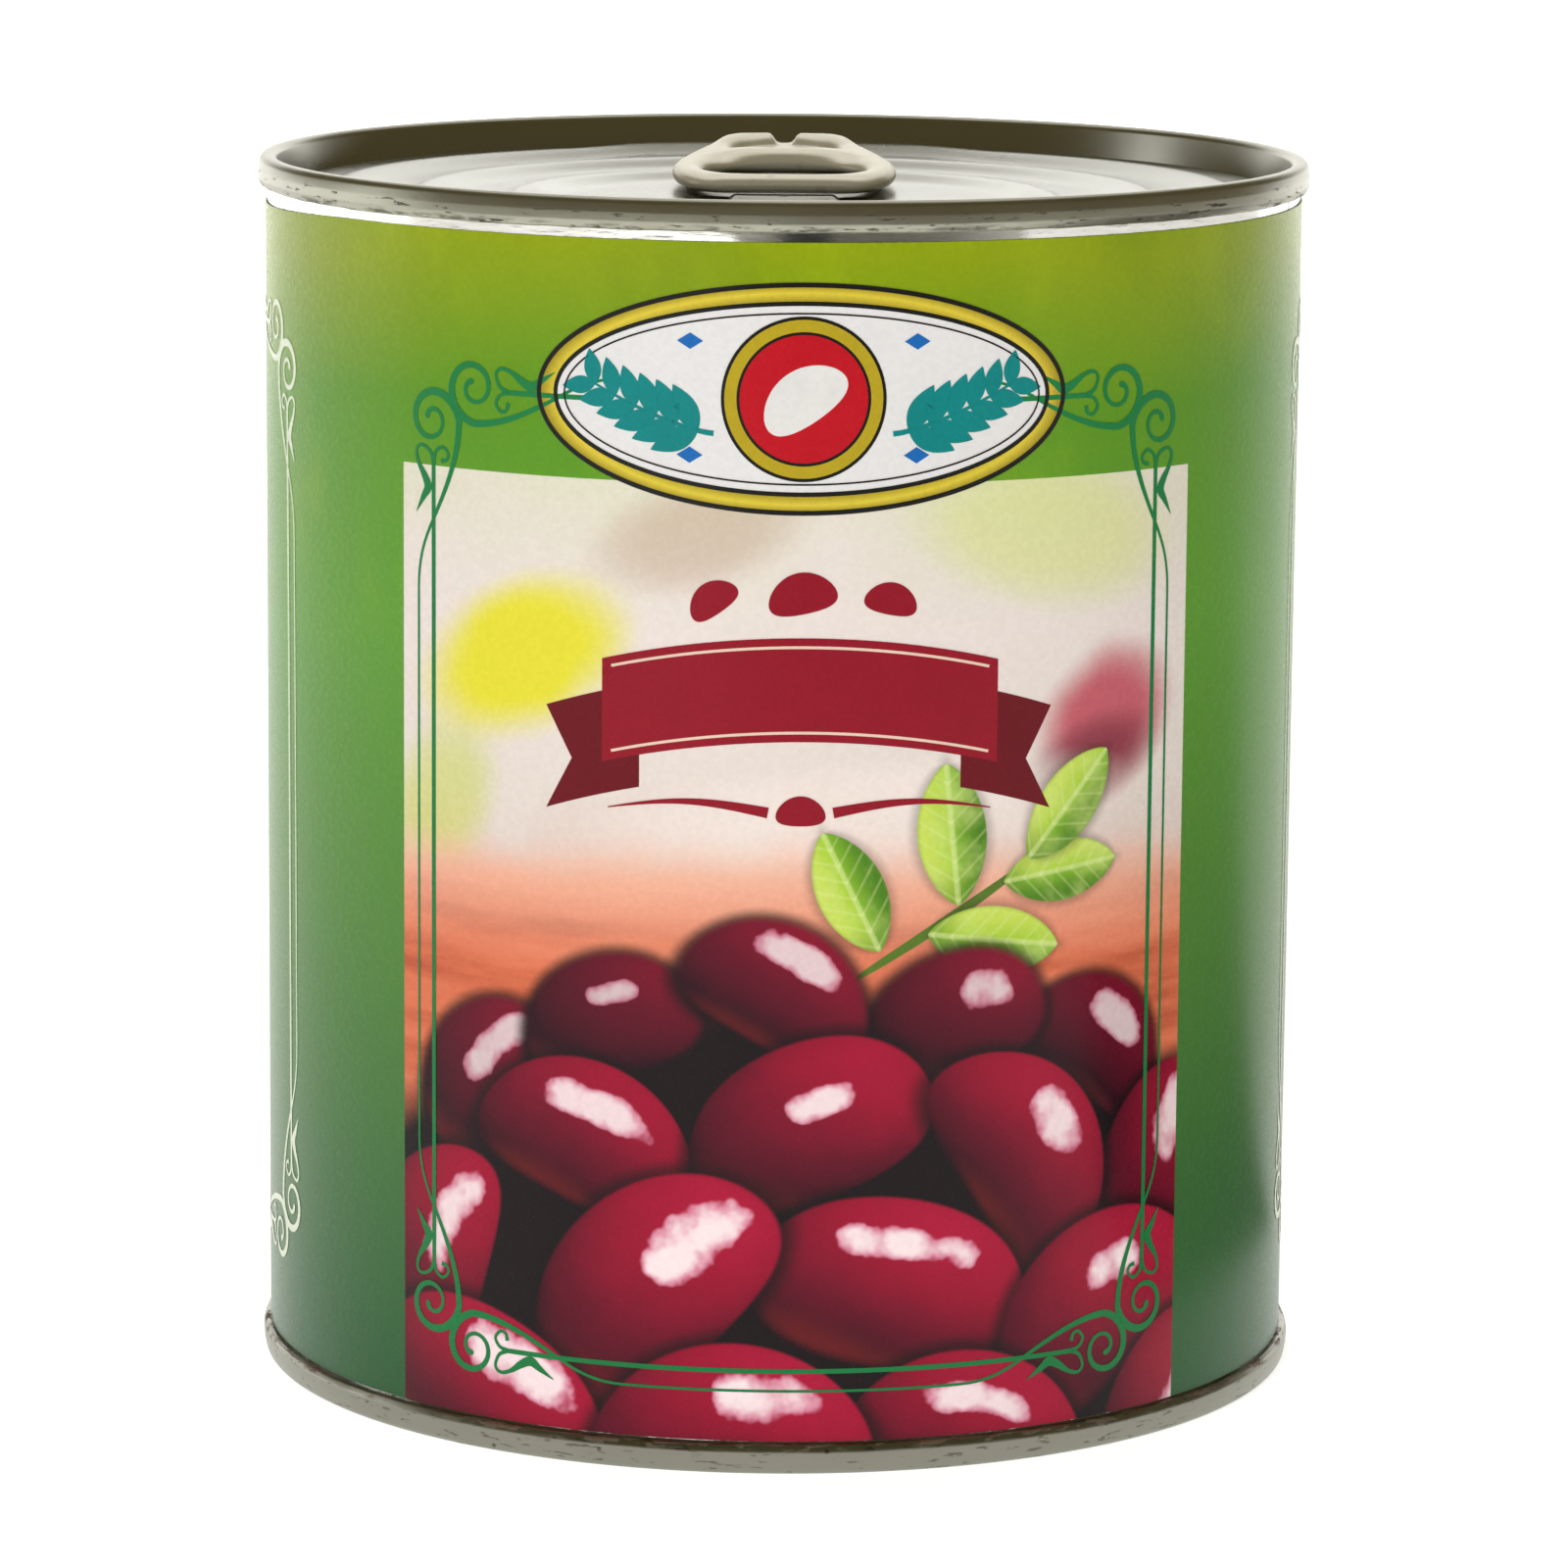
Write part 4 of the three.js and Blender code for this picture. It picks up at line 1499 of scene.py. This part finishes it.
class BEANCAN_OT_stage(bpy.types.Operator):
    """Sets up the floor, the backdrop, the lights and the camera"""
    bl_idname = "bean_can.stage"
    bl_label = "Studio"

    def execute(self, context):
        scene = context.scene
        scene.view_settings.view_transform = "Standard"
        self.floor()
        self.backdrop()
        self.lens_card()
        self.floor_card()
        self.lights(scene)
        self.camera(scene)
        return {"FINISHED"}

    def sheet(self, name, vertices, faces, material):
        """A piece of the studio from vertices in metres."""
        mesh = bpy.data.meshes.new(name)
        mesh.from_pydata(vertices, [], faces)
        mesh.materials.append(material)
        piece = bpy.data.objects.new(name, mesh)
        bpy.context.scene.collection.objects.link(piece)
        return piece

    def white(self, name, strength):
        material, shader, place = new_finish(name)
        tone = place.noise(2.0, 2.0).blend(ink(240, 240, 239), ink(246, 246, 245))
        dress(shader, base_color=tone, roughness=0.9,
              emission_color=(1.0, 1.0, 1.0), emission_strength=strength)
        return material

    def floor(self):
        left, right, front, back = FLOOR_EDGES
        corners = [(left, front, 0.0), (right, front, 0.0), (right, back, 0.0), (left, back, 0.0)]
        self.sheet("floor", corners, [(0, 1, 2, 3)], self.white("floor_white", FLOOR_GLOW))

    def backdrop(self):
        """A white wall round the back and the left: tall behind the can and at one place on the left."""
        vertices = []
        angles = spaced(math.radians(WALL_RIGHT), math.radians(WALL_LEFT), 0.08)
        for angle in angles:
            behind = smooth(abs(math.degrees(angle) - 180.0), 40.0, 12.0)
            aside = WALL_HUMP_SHARE * smooth(abs(math.degrees(angle) - WALL_HUMP), 10.0, 5.0)
            top = WALL_SIDE_HEIGHT + (WALL_HEIGHT - WALL_SIDE_HEIGHT) * max(behind, aside)
            for level in (0.0, top):
                vertices.append((WALL_RADIUS * math.sin(angle), -WALL_RADIUS * math.cos(angle), level))
        faces = [(2 * i, 2 * i + 1, 2 * i + 3, 2 * i + 2) for i in range(len(angles) - 1)]
        self.sheet("backdrop", vertices, faces, self.white("backdrop_white", WALL_GLOW))

    def lens_card(self):
        """A bent card below and beside the lens, dark in its middle, which the bare tin mirrors."""
        radius = sizes().camera_distance - CARD_AHEAD
        vertices = []
        angles = spaced(math.radians(CARD_LEFT), math.radians(CARD_RIGHT), 0.04)
        for angle in angles:
            for level in (0.0, CARD_HEIGHT):
                vertices.append((radius * math.sin(angle), -radius * math.cos(angle), level))
        faces = [(2 * i, 2 * i + 2, 2 * i + 3, 2 * i + 1) for i in range(len(angles) - 1)]
        material, shader, place = new_finish("card_dark")
        x, y = place.parts()[:2]
        share = (x.math("ARCTAN2", -y) - math.radians(CARD_LEFT)) / math.radians(CARD_RIGHT - CARD_LEFT)
        tone = share.ramp(
            (0.0, ink(170, 170, 166)),
            (0.13, ink(126, 126, 120)),
            (0.17, ink(32, 34, 38)),
            (0.28, ink(32, 34, 38)),
            (0.34, ink(92, 92, 86)),
            (0.7, ink(112, 112, 104)),
            (1.0, ink(196, 196, 192)),
        )
        dress(shader, base_color=tone, roughness=0.8)
        self.mirrored_only(self.sheet("lens_card", vertices, faces, material))

    def floor_card(self):
        """A grey card on the floor at the right, which keeps the label's gloss dark there."""
        vertices = []
        angles = spaced(math.radians(FLOOR_CARD_FROM), math.radians(FLOOR_CARD_TO), 0.05)
        for angle in angles:
            for radius in FLOOR_CARD_RADII:
                vertices.append((radius * math.sin(angle), -radius * math.cos(angle), MM))
        faces = [(2 * i, 2 * i + 1, 2 * i + 3, 2 * i + 2) for i in range(len(angles) - 1)]
        material, shader, place = new_finish("card_grey")
        tone = place.noise(3.0, 2.0).blend(ink(104, 104, 98), ink(116, 116, 110))
        dress(shader, base_color=tone, roughness=0.9)
        self.mirrored_only(self.sheet("floor_card", vertices, faces, material))

    def mirrored_only(self, card):
        """Lets a card show in gloss and metal, and nowhere else."""
        card.visible_diffuse = False
        card.visible_shadow = False
        card.visible_camera = False

    def lights(self, scene):
        world = bpy.data.worlds.new("studio")
        world.use_nodes = True
        background = world.node_tree.nodes["Background"]
        background.inputs["Color"].default_value = (*ROOM_COLOUR, 1.0)
        background.inputs["Strength"].default_value = 1.0
        scene.world = world
        self.softbox(scene, "key", KEY_PLACE, SIDE_LIGHT_SIZE, KEY_POWER)
        self.softbox(scene, "fill", FILL_PLACE, SIDE_LIGHT_SIZE, FILL_POWER)
        self.softbox(scene, "overhead", TOP_PLACE, TOP_SIZE, TOP_POWER, True)

    def softbox(self, scene, name, place, size, power, mirrored=False):
        """A soft light, mirrored by the metal and the gloss or not."""
        light = bpy.data.lights.new(name, "AREA")
        light.shape = "SQUARE"
        light.size = size
        light.energy = power
        lamp = bpy.data.objects.new(name, light)
        lamp.location = place
        lamp.rotation_mode = "QUATERNION"
        lamp.rotation_quaternion = (Vector(LIGHT_AIM) - Vector(place)).to_track_quat("-Z", "Y")
        lamp.visible_glossy = mirrored
        scene.collection.objects.link(lamp)

    def camera(self, scene):
        data = bpy.data.cameras.new("camera")
        data.lens = CAMERA_LENS
        data.sensor_width = CAMERA_SENSOR
        data.clip_end = CAMERA_REACH
        camera = bpy.data.objects.new("camera", data)
        place = Matrix.Translation((CAMERA_SIDE, -sizes().camera_distance, sizes().camera_height))
        tilt = Matrix.Rotation(math.radians(90 - CAMERA_TILT), 4, "X")
        roll = Matrix.Rotation(math.radians(CAMERA_ROLL), 4, "Z")
        camera.matrix_world = place @ tilt @ roll
        scene.collection.objects.link(camera)
        scene.camera = camera


class BEANCAN_OT_tin(bpy.types.Operator):
    """Makes the tin body and the two seamed ends"""
    bl_idname = "bean_can.tin"
    bl_label = "Tin body and ends"

    def execute(self, context):
        height = sizes().height / MM
        body = sizes().label_radius / MM - STRIP_INSET
        low = [(0, 6.0), (body - 2.0, 6.0), (body - 1.0, SEAM_HEIGHT), (body, SEAM_HEIGHT)]
        high = [(radius, height - depth) for radius, depth in reversed(low)]
        add_piece("tin_body", turned(low + high, TURN_STEPS), strip_finish(), ["can_body"])
        add_piece("lid", lid_shape(), lid_finish(), ["top_end"], SEAM_CREASE)

        def shift(angles, radii, heights):
            radii, depths = seam_wobble(angles, radii, heights)
            rise = sum(bead_rise(radii, edge) for edge in BEAD_RADII)
            on_face = (radii < PANEL_FACE_RADIUS) & (np.abs(depths - panel_depth(radii)) < SHEET / 2)
            return radii, depths - np.where(on_face, rise, 0)

        lower = turned(list(reversed(end_profile())), TURN_STEPS, shift)
        seam = tin_finish("seam_tin", [v * FOOT_SEAM_TONE for v in colours().tin], 0.32, SEAM_HEIGHT)
        add_piece("bottom_lid", lower, seam, ["bottom_end"], SEAM_CREASE)
        return {"FINISHED"}


class BEANCAN_OT_ring(bpy.types.Operator):
    """Makes the pull ring on the lid"""
    bl_idname = "bean_can.ring"
    bl_label = "Pull ring"

    def execute(self, context):
        vertices, faces = ring_shape()
        slope = math.atan2(FINGER_END_DEPTH - NOSE_END_DEPTH, RING_LENGTH)
        base = Matrix.Translation((0, RING_START, sizes().height / MM - FINGER_END_DEPTH))
        lean = base @ Matrix.Rotation(slope, 4, "X")
        leaning = [tuple(lean @ Vector(vertex)) for vertex in vertices]
        piece = add_piece("ring_pull", (leaning, faces), ring_finish(), ["pull_ring"], 180)
        melted(piece, FUSE_VOXEL, FUSE_ROUNDS)
        return {"FINISHED"}


class BEANCAN_OT_label(bpy.types.Operator):
    """Makes the paper wrap and its picture"""
    bl_idname = "bean_can.label"
    bl_label = "Paper label"

    def execute(self, context):
        arcs, heights, left, right = label_grid()

        def in_picture(i, j):
            arc = (arcs[i] + arcs[i + 1]) / 2
            level = (heights[j] + heights[j + 1]) / 2
            return left < arc < right and level < PANEL_TOP

        wrap, wrap_outer = paper_sheet(arcs, heights, lambda i, j: not in_picture(i, j))
        piece = add_piece("label_wrap", wrap, wrap_finish(), ["label"])
        add_bake_map(piece, wrap_outer, arcs, heights)
        print_arcs = [arc for arc in arcs if left - 1e-6 <= arc <= right + 1e-6]
        print_heights = [level for level in heights if level <= PANEL_TOP + 1e-6]
        panel, panel_outer = paper_sheet(print_arcs, print_heights, lambda i, j: True)
        piece = add_piece("label_print", panel, picture_finish())
        add_bake_map(piece, panel_outer, print_arcs, print_heights)
        return {"FINISHED"}


class BEANCAN_OT_ornament(bpy.types.Operator):
    """Makes the printed frames of double lines and scrolls"""
    bl_idname = "bean_can.ornament"
    bl_label = "Lines and scrolls"

    def execute(self, context):
        front = scroll_frame(lift=LIFT_INK, **FRONT_FRAME)
        add_print("front_scrolls", joined(*front), ink_finish("scroll_green", colours().scroll))
        pale = []
        for middle in SIDE_FRAME_MIDDLES:
            pale += scroll_frame(middle, lift=LIFT_INK, **SIDE_FRAME)
        add_print("side_scrolls", joined(*pale), ink_finish("scroll_pale", ink(226, 236, 214)))
        return {"FINISHED"}


class BEANCAN_OT_medallion(bpy.types.Operator):
    """Makes the plain medallion above the picture"""
    bl_idname = "bean_can.medallion"
    bl_label = "Medallion"

    def execute(self, context):
        width, height = MEDALLION_HALF
        rim = MEDALLION_RIM
        field = inked(oval(MEDALLION, width - 0.2, height - 0.2), MEDALLION, LIFT_GROUND, 14)
        add_print("medallion_field", field, ink_finish("medallion_white", ink(222, 222, 224), deep=0.96))
        gold = ribbon(oval(MEDALLION, width - rim / 2, height - rim / 2), rim, LIFT_INK, closed=True)
        add_print("medallion_rim", gold, gold_finish())
        outlines = []
        for inset, line in MEDALLION_LINES:
            outline = oval(MEDALLION, width - inset, height - inset)
            outlines.append(ribbon(outline, line, LIFT_TOP, closed=True))
        for radius, line in ROUNDEL_LINES:
            outlines.append(ribbon(self.circle(radius), line, LIFT_TOP + 0.01, closed=True))
        add_print("medallion_lines", joined(*outlines), ink_finish("line_black", ink(24, 24, 22)))
        add_print("medallion_sprigs", joined(*self.sprigs()), ink_finish("sprig_teal", ink(0, 132, 132)))
        gems = []
        for side in (-1, 1):
            for level in (-1, 1):
                centre = (MEDALLION[0] + side * GEM_OFFSET[0], MEDALLION[1] + level * GEM_OFFSET[1])
                gems.append(inked(oval(centre, *GEM_HALF, 4), centre, LIFT_TOP))
        add_print("medallion_gems", joined(*gems), ink_finish("gem_blue", ink(20, 104, 184)))
        roundel = inked(self.circle(ROUNDEL_RADIUS), MEDALLION, LIFT_INK, 6)
        add_print("medallion_roundel", roundel, ink_finish("roundel_red", ink(190, 10, 30)))
        ring = ribbon(self.circle(ROUNDEL_RING_RADIUS), ROUNDEL_RING_WIDTH, LIFT_TOP, closed=True)
        add_print("medallion_ring", ring, ink_finish("ring_gold", colours().gold))
        bean = inked(kidney(MEDALLION, *ROUNDEL_BEAN, 60), MEDALLION, LIFT_TOP)
        add_print("medallion_bean", bean, ink_finish("bean_white", ink(226, 226, 226)))
        return {"FINISHED"}

    def circle(self, radius):
        """A round outline about the medallion's middle."""
        return oval(MEDALLION, radius, radius, 72)

    def sprigs(self):
        """Two leafy branches that curve away from the middle."""
        shapes = []
        x, y = MEDALLION
        for side in (-1, 1):
            stem = []
            for i in range(SPRIG_STEPS + 1):
                share = i / SPRIG_STEPS
                along = SPRIG_START[0] + SPRIG_SPAN[0] * share
                stem.append((x + side * along, y + SPRIG_START[1] + SPRIG_SPAN[1] * share ** 1.4))
            shapes.append(ribbon(stem, np.linspace(0.5, 0.2, len(stem)), LIFT_TOP))
            for i in range(3, SPRIG_STEPS, 4):
                share = i / SPRIG_STEPS
                heading = 16 + 22 * share
                for fork in (-1, 1):
                    turn = heading + fork * 42
                    turn = turn if side > 0 else 180 - turn
                    outline, centre = leaf(stem[i], 5.0 - 1.8 * share, 2.2 - 0.6 * share, turn)
                    shapes.append(inked(outline, centre, LIFT_TOP, 2))
        return shapes


class BEANCAN_OT_vignette(bpy.types.Operator):
    """Makes the crimson vignette on the pale part of the picture"""
    bl_idname = "bean_can.vignette"
    bl_label = "Vignette"

    def execute(self, context):
        crimson = ink_finish("ink_crimson", colours().crimson)
        tail = ink_finish("ink_maroon", [value * 0.5 for value in colours().crimson])
        add_print("banner_tails", joined(*self.tails()), tail)
        marks = [band(*self.edges(-BANNER_HALF, BANNER_HALF, BANNER_TALL), LIFT_INK, 8)]
        x, y = BANNER
        for step, size, rise in TOP_BEANS:
            centre = (x + step * TOP_BEAN_GAP, y + rise)
            marks.append(inked(kidney(centre, size, size * 0.6, 12 - step * 24, 0.35), centre, LIFT_INK))
        for side in (-1, 1):
            rule = []
            for share in np.linspace(0, 1, RULE_STEPS):
                along = RULE_START + RULE_LENGTH * share
                rule.append((x + side * along, y - RULE_DROP + RULE_ARCH * math.sin(share * math.pi)))
            marks.append(ribbon(rule, np.linspace(1.0, 0.1, len(rule)), LIFT_INK))
        low = (x, y - RULE_DROP)
        marks.append(inked(kidney(low, 4.6, 2.8, 0, 0.35), low, LIFT_INK))
        add_print("banner", joined(*marks), crimson)
        inner = BANNER_HALF - BANNER_LINE_INSET
        lines = [ribbon(edge, BANNER_LINE, LIFT_TOP) for edge in self.edges(-inner, inner, BANNER_LINE_TALL)]
        add_print("banner_lines", joined(*lines), ink_finish("line_pale", ink(232, 206, 190)))
        return {"FINISHED"}

    def edges(self, start, end, tall, drop=0.0):
        """Lower and upper edge of a stretch of the arched banner."""
        lower = []
        upper = []
        for across in spaced(start, end, 0.8):
            middle = BANNER[1] + BANNER_ARCH * (1 - (across / BANNER_HALF) ** 2) - drop
            lower.append((BANNER[0] + across, middle - tall / 2))
            upper.append((BANNER[0] + across, middle + tall / 2))
        return lower, upper

    def tails(self):
        """Folded ends of the banner, each with a cut out of its tip."""
        shapes = []
        for side in (-1, 1):
            root = side * (BANNER_HALF - TAIL_ROOT)
            tip = side * (BANNER_HALF + TAIL_TIP)
            lower, upper = self.edges(*sorted((root, tip)), BANNER_TALL, TAIL_DROP)
            if side < 0:
                lower, upper = lower[::-1], upper[::-1]
            count = len(lower)
            middle = []
            for i, (low, high) in enumerate(zip(lower, upper)):
                cut = TAIL_CUT * i / (count - 1)
                middle.append((low[0] - side * cut, (low[1] + high[1]) / 2))
            halves = ((lower, middle), (middle, upper))
            for first, second in halves:
                if side < 0:
                    first, second = first[::-1], second[::-1]
                shapes.append(band(first, second, LIFT_GROUND, 4))
        return shapes


class BEANCAN_PT_panel(bpy.types.Panel):
    """Sidebar list of the can's pieces and settings"""
    bl_label = "Bean can"
    bl_idname = "BEANCAN_PT_panel"
    bl_space_type = "VIEW_3D"
    bl_region_type = "UI"
    bl_category = "Bean can"

    def draw(self, context):
        for operator in OPERATORS:
            self.layout.operator(operator.bl_idname)
        for group in (context.scene.bean_can_sizes, context.scene.bean_can_colours):
            column = self.layout.column()
            for key in group.__annotations__:
                column.prop(group, key)


OPERATORS = (
    BEANCAN_OT_stage,
    BEANCAN_OT_tin,
    BEANCAN_OT_ring,
    BEANCAN_OT_label,
    BEANCAN_OT_ornament,
    BEANCAN_OT_medallion,
    BEANCAN_OT_vignette,
)
CLASSES = (CanSizes, CanColours, *OPERATORS, BEANCAN_PT_panel)


def register():
    for each in CLASSES:
        bpy.utils.register_class(each)
    bpy.types.Scene.bean_can_sizes = bpy.props.PointerProperty(type=CanSizes)
    bpy.types.Scene.bean_can_colours = bpy.props.PointerProperty(type=CanColours)


def unregister():
    del bpy.types.Scene.bean_can_colours
    del bpy.types.Scene.bean_can_sizes
    for each in reversed(CLASSES):
        bpy.utils.unregister_class(each)


def main():
    register()
    bpy.ops.bean_can.stage()
    bpy.ops.bean_can.tin()
    bpy.ops.bean_can.ring()
    bpy.ops.bean_can.label()
    bpy.ops.bean_can.ornament()
    bpy.ops.bean_can.medallion()
    bpy.ops.bean_can.vignette()


if __name__ == "__main__":
    main()
